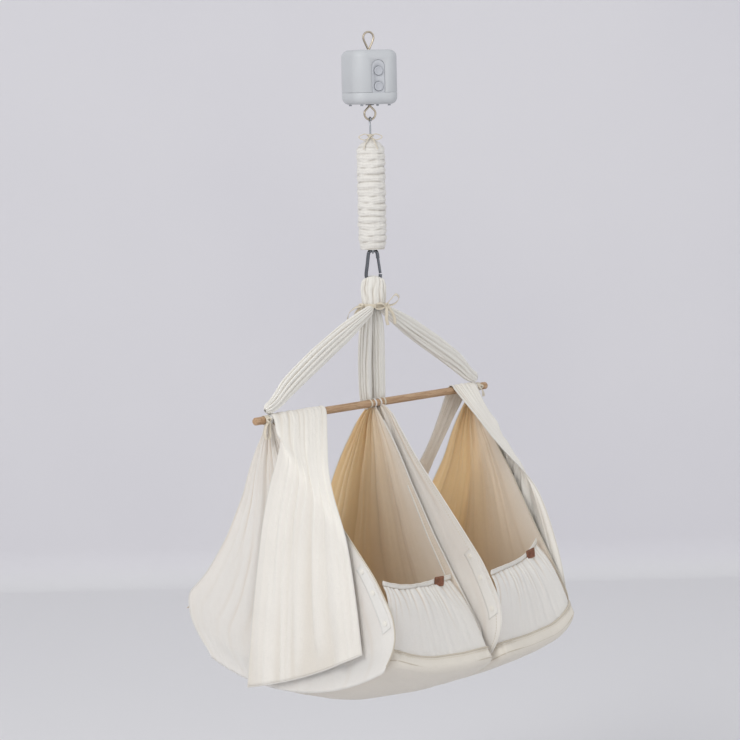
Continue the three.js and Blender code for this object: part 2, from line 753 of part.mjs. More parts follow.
function makeSleeve() {
  const outward = (u) => new THREE.Vector3(Math.cos(fullTurn * u), Math.sin(fullTurn * u), 0);
  const pointAt = (u, v) => {
    const fromTop = sleeveDrop(v);
    return outward(u).multiplyScalar(sleeveRadius(u, fromTop)).setZ(-sleeveTopDrop - fromTop);
  };
  const offsetAt = (u) => outward(u).multiplyScalar(sleeveCloth / 2);
  place("spring_sleeve", "cotton", sheet(pointAt, offsetAt, smallSides, sleeveRows, true));
  const cordHeight = -(sleeveTopDrop + sleeveCordDrop);
  const cordRadius = (sleeveWaistDiameter + sleeveCloth + cordDiameter) / 2 + 4 * clearance;
  const ring = new THREE.TorusGeometry(cordRadius, cordDiameter / 2, 5, smallSides).translate(0, 0, cordHeight);
  place("sleeve_top_cord", "tape", join(ring, bow(cordHeight)).rotateZ(bowTurnDegrees * degree));
  const mouthRadius = (sleeveMouthDiameter - sleeveCloth) / 2 - cordDiameter / 2 - clearance;
  const hem = new THREE.TorusGeometry(mouthRadius, cordDiameter / 2, 5, smallSides);
  place("sleeve_bottom_cord", "tape", hem.translate(0, 0, -sleeveBottomDrop + cordDiameter));
}

const knotShare = 1.3;

// Bow knot with two loops and two tails, on the side that faces the front left
function bow(height) {
  const knotRadius = cordDiameter * knotShare;
  const knotReach = (sleeveRimDiameter + sleeveCloth) / 2 + clearance + knotRadius;
  const out = (share, side, drop) => {
    const below = sleeveCordDrop + Math.max(drop, 0);
    const reach = Math.max(knotReach, sleeveRadius(0.5, below) + sleeveCloth + cordDiameter + 2 * clearance);
    return new THREE.Vector3(-reach, side * bowLength * share, height - drop);
  };
  const loops = [-1, 1].map((side) => wire([
    out(0, side, 0),
    out(0.5, side, -0.15 * bowLength),
    out(1, side, 0.1 * bowLength),
    out(0.5, side, 0.35 * bowLength),
    out(0.05, side, 0.1 * bowLength),
  ], cordDiameter * 0.8, 8, 5));
  const tails = [-1, 1].map((side) => wire([
    out(0, side, 0),
    out(0.35, side, 0.5 * bowLength),
    out(0.55, side, 1.1 * bowLength),
  ], cordDiameter * 0.8, 5, 5));
  const knot = new THREE.SphereGeometry(knotRadius, 8, 6).translate(-knotReach, 0, height);
  return join(knot, ...loops, ...tails);
}

// Pear-shaped snap hook, narrow end up, with a sprung gate on its right
const pearLean = Math.asin((snapHookWideRadius - snapHookNarrowRadius) / (snapHookWideDrop - snapHookNarrowDrop));

// Share of the straight side that the hook's end takes before the gate starts
const noseShare = 0.21;

function pearPoint(radius, drop, angle) {
  return new THREE.Vector3(radius * Math.cos(angle), 0, -drop + radius * Math.sin(angle));
}

function makeSnapHook() {
  const arcSteps = 8;
  const narrow = [];
  const wide = [];
  for (let i = 0; i <= arcSteps; i += 1) {
    narrow.push(pearPoint(snapHookNarrowRadius, snapHookNarrowDrop, mix(pearLean, Math.PI - pearLean, i / arcSteps)));
    wide.push(pearPoint(snapHookWideRadius, snapHookWideDrop, mix(Math.PI - pearLean, fullTurn + pearLean, i / arcSteps)));
  }
  const spine = narrow[arcSteps].clone().lerp(wide[0], 0.5);
  const nose = narrow[0].clone().lerp(wide[arcSteps], noseShare);
  const hook = wire([nose, ...narrow, spine, ...wide], snapHookWire, 26, 8);
  place("snap_hook", "steel", hook, lowerUnit);
  const direction = wide[arcSteps].clone().sub(nose).normalize();
  const start = nose.clone().addScaledVector(direction, clearance);
  const end = wide[arcSteps].clone().addScaledVector(direction, -gateEndGap);
  place("snap_hook_gate", "steel", wire([start, start.clone().lerp(end, 0.5), end], gateDiameter, 2, 8), lowerUnit);
}

// Sling: cloth head over the snap hook, tied at the apex, with two arms and two centre tails
const barHeight = -barDrop;
const apexHeight = -apexDrop;

// Share of the head's height, then of its width and of its depth
const headShares = [
  [0, 0.8, 0.8],
  [0.08, 0.97, 0.95],
  [0.3, 1.02, 1.05],
  [0.62, 1, 1],
  [0.86, 0.92, 0.93],
  [1, 0.92, 0.93],
];

function makeSlingHead() {
  const acrossHook = new THREE.Vector3(Math.cos(lowerYaw), Math.sin(lowerYaw), 0);
  const top = -snapHookWideDrop - slingTopBelowCentre;
  const stations = headShares.map(([share, widthShare, depthShare]) => ({
    at: new THREE.Vector3(0, 0, mix(top, apexHeight - apexTieHeight / 2, share)),
    width: slingHeadWidth * widthShare,
    depth: slingHeadDepth * depthShare,
  }));
  const channel = new THREE.TorusGeometry(snapHookWideRadius, snapHookWire / 2 + 4 * clearance, 8, smoothSides)
    .rotateX(Math.PI / 2)
    .rotateZ(lowerYaw)
    .translate(0, 0, -snapHookWideDrop);
  place("sling_head", "cotton", cut(bundle(stations, acrossHook, 7, 0.06), channel));
}

// Share of each arm's run sideways and down, then how far it is swollen in width and in depth
const armShares = [
  [0, 0, 0, 0],
  [0.1, 0.09, 0.35, 0.25],
  [0.27, 0.25, 0.8, 0.8],
  [0.53, 0.5, 1, 1],
  [0.78, 0.76, 0.8, 0.9],
  [0.92, 0.94, 0.25, 0.4],
  [1, 1, 0, 0],
];

function armStations(side, tieX) {
  const start = new THREE.Vector3(side * slingNeckWidth * 0.27, -slingNeckDepth * 0.2, apexHeight - apexTieHeight / 2 - clearance);
  const end = new THREE.Vector3(side * tieX, 0, barHeight + barRadius + tapeThickness + 3 * clearance + slingEndDepth / 2);
  const run = new THREE.Vector3().subVectors(end, start);
  return armShares.map(([acrossShare, dropShare, widthShare, depthShare]) => ({
    at: start.clone().add(new THREE.Vector3(run.x * acrossShare, run.y * acrossShare, run.z * dropShare)),
    width: acrossShare < 0.53 ? mix(slingStartWidth, slingArmWidth, widthShare) : mix(slingEndWidth, slingArmWidth, widthShare),
    depth: acrossShare < 0.53 ? mix(slingStartDepth, slingArmDepth, depthShare) : mix(slingEndDepth, slingArmDepth, depthShare),
  }));
}

function makeSling() {
  makeSlingHead();
  const tieX = barLength / 2 - armTieFromEnd;
  const upright = new THREE.Vector3(0, 0, 1);
  const sideways = new THREE.Vector3(1, 0, 0);
  for (const [name, side] of [["left", -1], ["right", 1]]) {
    place(`${name}_sling_arm`, "cotton", bundle(armStations(side, tieX), upright, 5, 0.07));
    const behind = barRadius + clearance + centreSlingDepth / 2;
    const stations = [
      [0, slingNeckWidth * 0.2, slingNeckDepth * 0.22, slingStartWidth, slingStartDepth],
      [0.25, slingNeckWidth * 0.27, slingNeckDepth * 0.3, centreSlingWidth, centreSlingDepth],
      [0.6, centreSlingWidth * 0.56, behind * 0.85, centreSlingWidth, centreSlingDepth],
      [0.94, centreSlingWidth * 0.54, behind, centreSlingWidth * 0.95, centreSlingDepth],
      [1, centreSlingWidth * 0.52, behind, centreSlingWidth * 0.7, centreSlingDepth * 0.6],
    ].map(([share, x, y, width, depth]) => ({
      at: new THREE.Vector3(side * x, y, mix(apexHeight - apexTieHeight / 2 - clearance, barHeight - barRadius / 2, share)),
      width,
      depth,
    }));
    place(`${name}_centre_sling`, "cotton", bundle(stations, sideways, 4, 0.07));
    const armRing = ringAboutX(barRadius + clearance, barRadius + clearance + tapeThickness, loopWidth, side * tieX, 0, barHeight);
    place(`${name}_arm_tie`, "tape", armRing);
    const centreRing = ringAboutX(barRadius + clearance, barRadius + clearance + tapeThickness, centreLoopWidth,
      side * (wallTopX + loopWidth), 0, barHeight);
    place(`${name}_centre_tie`, "tape", centreRing);
  }
  makeBar();
  makeApexTie();
}

function makeBar() {
  const half = barLength / 2;
  const grooveRadius = barRadius - barGrooveDepth;
  const grooveEnd = half - barTipLength;
  const halfProfile = [
    [barTipDiameter / 2, half],
    [barRadius, half - barRadius + barTipDiameter / 2],
    [barRadius, grooveEnd],
    [grooveRadius, grooveEnd],
    [grooveRadius, grooveEnd - barGrooveWidth],
    [barRadius, grooveEnd - barGrooveWidth],
  ];
  const mirrored = halfProfile.map(([r, h]) => [r, -h]).reverse();
  const profile = [[0, half], ...halfProfile, ...mirrored, [0, -half]].map(([r, h]) => new THREE.Vector2(r, h));
  const bar = new THREE.LatheGeometry(profile.reverse(), barSides).rotateZ(-Math.PI / 2);
  place("spreader_bar", "beech", bar.translate(0, 0, barHeight));
}

// Tape wound round the gathered cloth at the apex, with a bow at each side
function makeApexTie() {
  const band = new THREE.CylinderGeometry(1, 1, apexTieHeight, smoothSides).rotateX(Math.PI / 2);
  const inner = (slingNeckWidth + clearance) / 2;
  const innerDepth = (slingNeckDepth + clearance) / 2;
  const outer = band.clone().scale(inner + tapeThickness, innerDepth + tapeThickness, 1);
  const hollow = band.clone().scale(inner, innerDepth, 2);
  const ring = cut(outer, hollow).rotateZ(lowerYaw).translate(0, 0, apexHeight);
  place("apex_tie", "tape", ring);
}

// Cradles: points are given by their distance and angle about the bar's axis
function aboutBar(x, radius, angle) {
  return new THREE.Vector3(x, -radius * Math.sin(angle), barHeight - radius * Math.cos(angle));
}

const frontAngle = frontAngleDegrees * degree;
const backAngle = backAngleDegrees * degree;
const middleAngle = (frontAngle - backAngle) / 2;
const halfAngle = (frontAngle + backAngle) / 2;
const outerX = cradleInset + cradleWidth;

// How far the underside rises toward the outer side, by share of the width
function lift(share) {
  return outerLift * Math.max(share, 0) ** 4;
}

// Point on a rounded plan: share of the half width and half length, and height over the underside
function planPoint(side, turn, reach, height, margin) {
  const corner = 2 / 6;
  const cos = Math.cos(turn);
  const sin = Math.sin(turn);
  const acrossShare = Math.sign(cos) * Math.abs(cos) ** corner * reach;
  const lengthShare = Math.sign(sin) * Math.abs(sin) ** corner * reach;
  const across = cradleWidth / 2 + acrossShare * (cradleWidth / 2 - margin);
  const angle = middleAngle + lengthShare * (halfAngle - margin / hullRadius);
  return aboutBar(side * (cradleInset + across), hullRadius - lift(across / cradleWidth) - height, angle);
}

// Dish or pad from rings on the rounded plan, closed at its middle
function planSolid(side, profile) {
  const sides = 24;
  const rings = profile.map(([reach, height, margin]) => {
    const ring = [];
    for (let i = 0; i < sides; i += 1) {
      ring.push(planPoint(side, (fullTurn * (i + 0.5)) / sides, reach, height, margin));
    }
    return ring;
  });
  return skin(rings);
}

// Cloth tray under each mattress
function makeTray(name, side) {
  const corner = trayCornerRadius;
  const rise = (share) => corner * (1 - Math.cos((share * Math.PI) / 2));
  const inset = (share) => corner * (1 - Math.sin((share * Math.PI) / 2));
  const outer = [0, 0.5, 1].map((share) => [1, rise(share), inset(share)]);
  const inner = outer.map(([reach, height, margin]) => [reach, height + trayCloth * (1 - height / corner), margin + trayCloth]).reverse();
  const profile = [
    [0.35, 0, 0],
    [0.75, 0, corner / 2],
    ...outer,
    [1, trayHeight, 0],
    [1, trayHeight, trayCloth],
    ...inner,
    [0.75, trayCloth, corner / 2],
    [0.35, trayCloth, 0],
  ];
  place(`${name}_tray`, "cotton", planSolid(side, profile));
}

function makeMattress(name, side) {
  const start = trayCloth + clearance;
  const edge = trayCloth + clearance + mattressMargin;
  const round = mattressThickness / 2;
  const top = start + mattressThickness;
  const profile = [
    [0.35, start, 0],
    [0.75, start, trayCornerRadius / 2],
    [1, start + 0.06 * mattressThickness, edge + round],
    [1, start + 0.25 * mattressThickness, edge + round / 3],
    [1, start + 0.55 * mattressThickness, edge],
    [1, start + 0.85 * mattressThickness, edge + round / 3],
    [1, top, edge + round],
    [0.72, top + 0.8 * mattressCrown, edge + round],
    [0.35, top + mattressCrown, 0],
  ];
  place(`${name}_mattress`, "padding", planSolid(side, profile));
}

// Share of each edge's angle at a share of the wall's radius
const flapEdgeShares = [[0, 1.1], [0.1, 1.06], [0.3, 1.02], [0.7, 1], [0.86, 0.95], [0.93, 0.88], [0.97, 0.8], [1, 0.68]];
const seamEdgeShares = [[0, 1.3], [0.1, 1.2], [0.3, 1.02], [0.5, 0.97], [0.75, 0.99], [0.9, 1.06], [1, 1.1]];
const backEdgeShares = [[0, 1.1], [0.1, 1], [0.3, 0.8], [0.5, 0.8], [0.7, 0.88], [0.85, 0.98], [0.93, 0.97], [1, 0.85]];
const pleatDepthShares = [[0, 0.55], [0.08, 0.9], [0.3, 1], [0.6, 0.6], [0.85, 0.25], [1, 0]];

// Plain position of each wall across the cradle, without its pleats
function wallX(outer, radius) {
  const share = radius / outerWallRadius;
  if (!outer) return mix(wallTopX, cradleInset - clothThickness / 2 - 3 * clearance, share ** 1.6);
  const top = barLength / 2 - armTieFromEnd - loopWidth - clearance;
  const bottom = outerX + clothThickness / 2 + clearance;
  return mix(top, bottom, Math.min(share, 1) ** 1.6);
}

function wallPoint(side, outer, flap, u, v) {
  const top = barRadius + clearance + tapeThickness / 2;
  const radius = mix(top, outer ? outerWallRadius : innerWallRadius, v ** 1.5);
  const share = (radius - top) / ((outer ? outerWallRadius : innerWallRadius) - top);
  const front = flap
    ? flapAngleDegrees * along(flapEdgeShares, share)
    : seamAngleDegrees * along(seamEdgeShares, share);
  const back = wallBackAngleDegrees * along(backEdgeShares, share);
  const window = smooth(Math.min(Math.max(0.9 - u, 0) / 0.2, u / 0.1, 1));
  const pleat = wallPleatDepth * along(pleatDepthShares, share) * window * Math.cos(fullTurn * wallPleats * u);
  return aboutBar(side * (wallX(outer, radius) + pleat), radius, mix(-back, front, u) * degree);
}

function makeWall(name, side, outer, flap) {
  const pointAt = (u, v) => wallPoint(side, outer, flap, u, v);
  const offsetAt = () => new THREE.Vector3(clothThickness / 2, 0, 0);
  const inner = barRadius + clearance;
  const loop = ringAboutX(inner, inner + tapeThickness, outer ? loopWidth - clearance : centreLoopWidth,
    side * wallX(outer, 0), 0, barHeight);
  place(name, "cotton", join(sheet(pointAt, offsetAt, 4 * wallPleats, 6), loop));
}

// Apron: gathered low wall at the foot end, with an elastic in its top hem
function apronPoint(side, flapSide, u, v) {
  const near = cradleInset + apronMargin;
  const far = outerX - apronMargin;
  const across = mix(near, far, u);
  const bottomRadius = hullRadius - lift((across - cradleInset) / cradleWidth) - trayHeight - clearance - clothThickness / 2;
  const flapShare = flapSide === "outer" ? u : 1 - u;
  const sag = Math.sin(Math.PI * u);
  const topRadius = bottomRadius - apronHeight + apronFlapDrop * flapShare ** 2 + 0.04 * apronHeight * sag;
  const topAngle = mix(seamAngleDegrees - 2, flapAngleDegrees - 0.5, flapShare);
  const angle = mix(frontAngleDegrees - 0.7, topAngle, smooth(v) * 0.4 + v * 0.6) * degree;
  const ruffle = apronRuffleDepth * v * Math.sin(Math.PI * u) ** 0.5 * Math.cos(fullTurn * apronRuffles * u);
  const bulge = apronBulge * Math.sin(Math.PI * v) + ruffle;
  const radius = mix(bottomRadius, topRadius, v);
  return aboutBar(side * across, radius, angle + bulge / radius);
}

function makeApron(name, side, flapSide) {
  const pointAt = (u, v) => apronPoint(side, flapSide, u, v);
  const offsetAt = () => new THREE.Vector3(0, -clothThickness / 2, clothThickness / 6);
  place(`${name}_apron`, "cotton", sheet(pointAt, offsetAt, 4 * apronRuffles, 3));
  const topEdge = (u, lower) => {
    const at = apronPoint(side, flapSide, u, 1);
    return at.add(new THREE.Vector3(0, 0, clothThickness / 6 + 1.5 * clearance + casingWidth / 2 - lower));
  };
  const offset = () => new THREE.Vector3(0, casingThickness / 2, 0);
  const casing = sheet((u, v) => topEdge(u, (v - 0.5) * casingWidth), offset, 4 * apronRuffles, 1);
  place(`${name}_apron_elastic`, "tape", casing);
  const tabShare = flapSide === "outer" ? tabFromSeam / cradleWidth : 1 - tabFromSeam / cradleWidth;
  const tabGap = casingThickness / 2 + tabThickness + apronRuffleDepth / 2 + 4 * clearance;
  const tabAt = (u, v) => {
    const share = tabShare + ((u - 0.5) * tabWidth) / cradleWidth;
    return topEdge(share, (v - 0.5) * tabHeight).add(new THREE.Vector3(0, -tabGap, 0));
  };
  const tab = sheet(tabAt, () => new THREE.Vector3(0, tabThickness / 2, 0), 3, 1);
  place(`${name}_leather_tab`, "leather", tab);
}

// Three press studs along the flap's front edge
function makeSnaps(name, side, outer) {
  const outward = new THREE.Vector3(-clothThickness / 2 - 2 * clearance - tapeThickness / 2, 0, 0);
  const tapeAt = (u, v) => wallPoint(side, outer, true, mix(0.94, 0.985, u), mix(0.74, 0.92, v)).add(outward);
  const tape = sheet(tapeAt, () => new THREE.Vector3(tapeThickness / 2, 0, 0), 2, 6);
  const studs = [0.1, 0.45, 0.9].map((share) => {
    const at = tapeAt(0.5, share);
    return rod(snapDiameter, snapThickness, "x", at.x - snapThickness / 2, at.y, at.z, 8);
  });
  place(`${name}_snap_tape`, "tape", join(tape, ...studs));
}

// Canopy: one sheet from the head end over the bar, then down outside the outer wall
function canopyColumn(side, drape, u) {
  const barX = mix(canopyBarStart + canopyBarWidth, canopyBarStart, u);
  const over = barRadius + clearance + canopyCloth;
  const cross = mix(canopyCrossNear, drape.crossFar, u);
  const drapeAngle = drape.degrees * degree;
  const headAngle = canopyHeadDegrees * degree;
  const wallOut = (radius) => wallX(true, radius) + canopyWallGap;
  const hemY = -mix(-canopyHemBack, drape.hemFront, u);
  const hemDrop = mix(canopyHemDropBack, drape.hemDropFront, u);
  const headX = mix(outerX - apronMargin, cradleInset + apronMargin, u);
  const at = (x, y, drop) => new THREE.Vector3(side * x, y, barHeight - drop);
  const ring = (angle) => aboutBar(side * barX, over, angle);
  const crossOut = aboutBar(side * wallOut(cross), cross, drapeAngle);
  const hang = (share, spread) => at(
    mix(wallOut(cross), wallOut(outerWallRadius) + canopyWallGap / 2, share),
    mix(crossOut.y, hemY, spread),
    mix(cross * Math.cos(drapeAngle), hemDrop, share));
  return [
    aboutBar(side * headX, hullRadius - trayHeight - outerLift, -backAngle),
    aboutBar(side * mix(headX, barX, 0.3), 0.66 * hullRadius, -1.1 * headAngle),
    aboutBar(side * mix(headX, barX, 0.75), 0.3 * hullRadius, -headAngle),
    ring(-110 * degree),
    ring(-155 * degree),
    ring(160 * degree),
    ring(115 * degree),
    aboutBar(side * mix(barX, wallOut(cross), 0.5), mix(over, cross, 0.5) + canopyWallGap / 2, drapeAngle * 1.15),
    crossOut,
    hang(0.2, 0.35),
    hang(0.5, 0.65),
    hang(0.78, 0.87),
    hang(1, 1),
  ];
}

function makeCanopy(name, side) {
  const drape = side < 0
    ? { crossFar: leftCrossFar, degrees: leftDrapeDegrees, hemFront: leftHemFront, hemDropFront: leftHemDropFront }
    : { crossFar: rightCrossFar, degrees: rightDrapeDegrees, hemFront: rightHemFront, hemDropFront: rightHemDropFront };
  const columns = 12;
  const grid = [];
  for (let i = 0; i <= columns; i += 1) {
    grid.push(canopyColumn(side, drape, i / columns));
  }
  const rows = grid[0].length - 1;
  const foldShares = [0.4, 0.8, 0.5, 0, 0, 0, 0, 0.2, 0.3, 0.7, 1, 1, 1];
  const pointAt = (u, v) => {
    const row = Math.round(v * rows);
    const point = grid[Math.round(u * columns)][row].clone();
    const fold = canopyFoldDepth * foldShares[row] * Math.sin(fullTurn * canopyFolds * u);
    return row < 8 ? point.add(new THREE.Vector3(0, Math.min(fold, 0), 0)) : point.add(new THREE.Vector3(side * Math.abs(fold), 0, 0));
  };
  const offsetAt = (u, v) => {
    const step = 1 / columns;
    const rise = 1 / rows;
    const alongU = pointAt(Math.min(u + step, 1), v).sub(pointAt(Math.max(u - step, 0), v));
    const alongV = pointAt(u, Math.min(v + rise, 1)).sub(pointAt(u, Math.max(v - rise, 0)));
    return alongU.cross(alongV).normalize().multiplyScalar(canopyCloth / 2);
  };
  place(`${name}_canopy`, "cotton", sheet(pointAt, offsetAt, columns, rows));
}

function makeCradle(name, side) {
  const flapOutside = side < 0;
  makeTray(name, side);
  makeMattress(name, side);
  makeWall(`${name}_outer_wall`, side, true, flapOutside);
  makeWall(`${name}_inner_wall`, side, false, !flapOutside);
  makeApron(name, side, flapOutside ? "outer" : "inner");
  makeSnaps(name, side, flapOutside);
  makeCanopy(name, side);
}

makeHousing();
makeTopEye();
makeChassis();
makeDrive();
makeCarriage();
makeControls();
makeHooks();
makeSpring();
makeSleeve();
makeSnapHook();
makeSling();
makeCradle("left", -1);
makeCradle("right", 1);

export default cradlePart;
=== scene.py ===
import json
import math

import bmesh
import bpy
import numpy as np
from mathutils import Matrix, Vector


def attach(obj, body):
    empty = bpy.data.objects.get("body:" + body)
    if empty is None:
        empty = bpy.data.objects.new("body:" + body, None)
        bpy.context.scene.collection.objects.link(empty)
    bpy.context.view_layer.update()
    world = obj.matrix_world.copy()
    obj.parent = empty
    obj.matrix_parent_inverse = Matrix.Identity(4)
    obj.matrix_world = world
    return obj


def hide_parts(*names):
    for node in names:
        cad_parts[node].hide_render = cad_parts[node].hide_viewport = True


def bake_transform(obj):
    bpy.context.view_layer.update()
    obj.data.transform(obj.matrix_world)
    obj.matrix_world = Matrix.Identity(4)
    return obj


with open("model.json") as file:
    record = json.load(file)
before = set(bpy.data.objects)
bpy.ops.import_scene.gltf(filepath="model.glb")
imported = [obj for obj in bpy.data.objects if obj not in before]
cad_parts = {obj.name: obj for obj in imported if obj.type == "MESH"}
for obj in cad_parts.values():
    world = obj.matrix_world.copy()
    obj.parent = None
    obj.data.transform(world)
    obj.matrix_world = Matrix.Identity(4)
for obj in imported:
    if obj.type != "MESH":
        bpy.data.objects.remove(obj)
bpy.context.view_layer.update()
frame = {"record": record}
MM = 0.001
TURN = 2 * math.pi
rad = math.radians

# Places in millimetres, as in the part's source
HOUSING_TOP, HOUSING_BOTTOM, HOUSING_WIDTH = -37.5, -157.5, 107.0
HOUSING_CORNER, HOUSING_EDGE, HOUSING_WALL = 28.0, 16.0, 2.5
SEAM_HEIGHT = HOUSING_BOTTOM + 26.0
PANEL_WIDTH, PANEL_HEIGHT, PANEL_CENTRE = 31.0, 82.0, HOUSING_TOP - 63.5
PANEL_THICK, PANEL_GROOVE, BUTTON_SPACING = 4.0, 1.2, 34.0
EYE_WIRE, HOOK_WIRE, SPRING_WIRE, SNAP_WIRE, GATE_WIRE = 4.5, 4.0, 4.0, 8.0, 6.4
LOWER_EYE = -191.25
MOTOR_YAW, LOWER_YAW = rad(-25), rad(-46)
SPRING_TOP, SPRING_BOTTOM, SPRING_COILS = -237.0, -453.0, 11
SLEEVE_TOP, SLEEVE_BOTTOM, SLEEVE_CORD_DROP = -223.0, -480.0, 4.0
SLEEVE_WIDE, SLEEVE_MOUTH, SLEEVE_NECK, SLEEVE_RIM = 60.5, 53.0, 6.2, 11.0
SLEEVE_RUCHES, SLEEVE_FINE_RUCHES, SLEEVE_GATHERS = 17, 41, 17
SNAP_TOP, SNAP_HEIGHT = -478.0, 80.0
HEAD_WIDE, HEAD_DEEP = 57.0, 40.0
APEX, BAR, BAR_RADIUS, BAR_LENGTH = -606.0, -826.0, 8.5, 780.0
ARM_TIE_X = BAR_LENGTH / 2 - 34
ARM_TAPE, MIDDLE_TAPE, APEX_TAPE = 12.5, 4.2, 9.4
HULL_RADIUS, CRADLE_WIDTH, CRADLE_INSET = 645.0, 317.0, 6.0
OUTER_X = CRADLE_INSET + CRADLE_WIDTH
FRONT_ANGLE, BACK_ANGLE = 33.5, 34.0
TRAY_HEIGHT, TRAY_CORNER, OUTER_LIFT = 34.0, 16.0, 62.0
OUTER_WALL, INNER_WALL, WALL_TOP_X = 598.0, 630.0, 8.5
FLAP_ANGLE, SEAM_ANGLE, WALL_BACK = 42.0, 32.0, 34.0
APRON_HEIGHT, APRON_FLAP_DROP = 175.0, 27.0
CANOPY_GAP = 10.0
ON_BAR = BAR_RADIUS + 0.3
HEM_RISE = 7.1
SIDES = (("left", -1), ("right", 1))


# shader and geometry graphs
class Signal:
    """One output of a node; arithmetic on it adds Math nodes."""

    def __init__(self, graph, socket):
        self.graph, self.socket = graph, socket

    def maths(self, operation, *values):
        return self.graph.add("ShaderNodeMath", {"operation": operation}, *values)

    def __add__(self, other):
        return self.maths("ADD", self, other)

    __radd__ = __add__

    def __sub__(self, other):
        return self.maths("SUBTRACT", self, other)

    def __mul__(self, other):
        return self.maths("MULTIPLY", self, other)

    __rmul__ = __mul__

    def clip(self):
        return self.graph.add("ShaderNodeClamp", {}, self, 0.0, 1.0)

    def sine(self):
        return self.maths("SINE", self)

    def step(self, low, high):
        smoothed = {"interpolation_type": "SMOOTHSTEP"}
        return self.graph.add("ShaderNodeMapRange", smoothed, self, low, high, 0.0, 1.0)


class Graph:
    """A node tree under construction."""

    def __init__(self, tree):
        self.tree = tree

    def add(self, kind, settings, *values, out=0, **named):
        """Makes a node, sets it up, feeds its inputs with numbers or signals, and returns one output."""
        node = self.tree.nodes.new(kind)
        for name, value in settings.items():
            setattr(node, name, value)
        for key, value in [*enumerate(values), *named.items()]:
            if value is None:
                continue
            socket = node.inputs[key.replace("_", " ") if isinstance(key, str) else key]
            if isinstance(value, Signal):
                self.tree.links.new(value.socket, socket)
            else:
                socket.default_value = value
        return Signal(self, node.outputs[out]) if len(node.outputs) else node

    def mix(self, share, first, second):
        """Colour mix; either colour may be a signal or three numbers."""
        node = self.tree.nodes.new("ShaderNodeMix")
        node.data_type = "RGBA"
        for index, value in ((0, share), (6, first), (7, second)):
            if isinstance(value, Signal):
                self.tree.links.new(value.socket, node.inputs[index])
            else:
                node.inputs[index].default_value = (*value, 1)
        return Signal(self, node.outputs[2])

    def place(self):
        return self.add("ShaderNodeTexCoord", {}, out=3)

    def stretch(self, where, *scale):
        return self.add("ShaderNodeMapping", {}, where, Scale=scale)

    def axis(self, where, index):
        return self.add("ShaderNodeSeparateXYZ", {}, where, out=index)

    def noise(self, where, scale, detail=3.0, rough=0.55):
        return self.add("ShaderNodeTexNoise", {}, Vector=where, Scale=scale, Detail=detail, Roughness=rough)

    def bump(self, height, distance, strength=1.0, normal=None):
        sizes = {"Strength": strength, "Distance": distance}
        return self.add("ShaderNodeBump", {}, Height=height, Normal=normal, **sizes)

    def dress(self, colour, rough=None, normal=None):
        """Feeds the shader and gives the finished material."""
        for key, signal in (("Base Color", colour), ("Roughness", rough), ("Normal", normal)):
            if signal is not None:
                self.tree.links.new(signal.socket, self.shader.inputs[key])
        return self.material


def srgb(*chart):
    """Linear colour from the 0 to 255 numbers of a paint chart."""
    return tuple((c / 255 / 12.92) if c < 11 else ((c / 255 + 0.055) / 1.055) ** 2.4 for c in chart)


def darker(colour, share):
    return tuple(c * share for c in colour)


def new_material(name, **fixed):
    """Graph of a new material, with plain values set on the shader's own sockets."""
    material = bpy.data.materials.new(name)
    material.use_nodes = True
    graph = Graph(material.node_tree)
    graph.material, graph.shader = material, material.node_tree.nodes["Principled BSDF"]
    for key, value in fixed.items():
        graph.shader.inputs[key.replace("_", " ")].default_value = value
    return graph


def cotton(name, light, deep, weave=0.9, slub=0.35, crease=1.0, through=0.0):
    """Woven cotton: yarn bump on the sheet's own map in metres, slubs, soft creases, and painted shade: warm
    on the inside, darker in folds.
    """
    glow = {"Subsurface_Weight": through, "Subsurface_Radius": (1.0, 1.0, 1.0), "Subsurface_Scale": 0.006}
    nap = {"Sheen_Weight": 0.25, "Sheen_Roughness": 0.5, "Specular_IOR_Level": 0.2}
    g = new_material(name, **glow, **nap)
    place = g.place()
    flat = g.add("ShaderNodeUVMap", {"uv_map": "cloth"})
    pitch = TURN / (weave * MM)
    yarn = (g.axis(flat, 0) * pitch).sine() * (g.axis(flat, 1) * pitch).sine()
    cloudy = g.noise(place, 9.0, 4.0)
    slubs = g.noise(g.stretch(flat, 90.0, 1100.0, 1.0), 1.0, 2.0)
    streak = g.noise(g.stretch(flat, 1300.0, 60.0, 1.0), 1.0, 2.0)
    warm, dark = (g.add("ShaderNodeAttribute", {"attribute_name": key}, out=2) for key in ("warmth", "fold"))
    base = g.mix(cloudy.step(0.35, 0.7), light, darker(light, 0.965))
    base = g.mix((slubs * streak * slub * 2.0).clip(), base, darker(light, 0.8))
    # painted warm shade: the warmth attribute tints the cloth towards deep, standing in for light through the
    # cloth and shade inside the cradles
    base = g.mix(warm.clip(), base, deep)
    # painted shade: the fold attribute darkens fold valleys and hollows towards a darker deep
    base = g.mix((dark * 0.5).clip(), base, darker(deep, 0.62))
    creases = g.noise(g.stretch(place, 1.0, 1.0, 0.35), 38.0, 5.0, 0.62)
    wrinkles = g.bump(creases, 0.004 * crease, 0.6)
    return g.dress(base, 0.84 + 0.1 * cloudy, g.bump(yarn * 0.5 + slubs * 0.9, 0.00022, 0.7, wrinkles))


def webbing(name, light):
    """Cotton tape with ribs across it."""
    g = new_material(name, Sheen_Weight=0.2, Specular_IOR_Level=0.2)
    ribs = (g.axis(g.add("ShaderNodeUVMap", {"uv_map": "cloth"}), 1) * (TURN / 0.0016)).sine()
    fuzz = g.noise(g.place(), 420.0, 3.0)
    colour = g.mix((fuzz * 0.7 + ribs * 0.12).clip(), light, darker(light, 0.78))
    return g.dress(colour, 0.8 + 0.12 * fuzz, g.bump(ribs + fuzz, 0.0002))


def moulded(name, colour, rough=0.42, grain=0.5):
    """Satin plastic with a fine moulded grain."""
    g = new_material(name, Specular_IOR_Level=0.45)
    place = g.place()
    fine, broad = g.noise(place, 1900.0, 2.0), g.noise(place, 14.0, 3.0)
    tint = g.mix(broad.step(0.3, 0.75), colour, darker(colour, 0.97))
    return g.dress(tint, rough + 0.06 * broad + 0.05 * fine, g.bump(fine, 0.00005, grain))


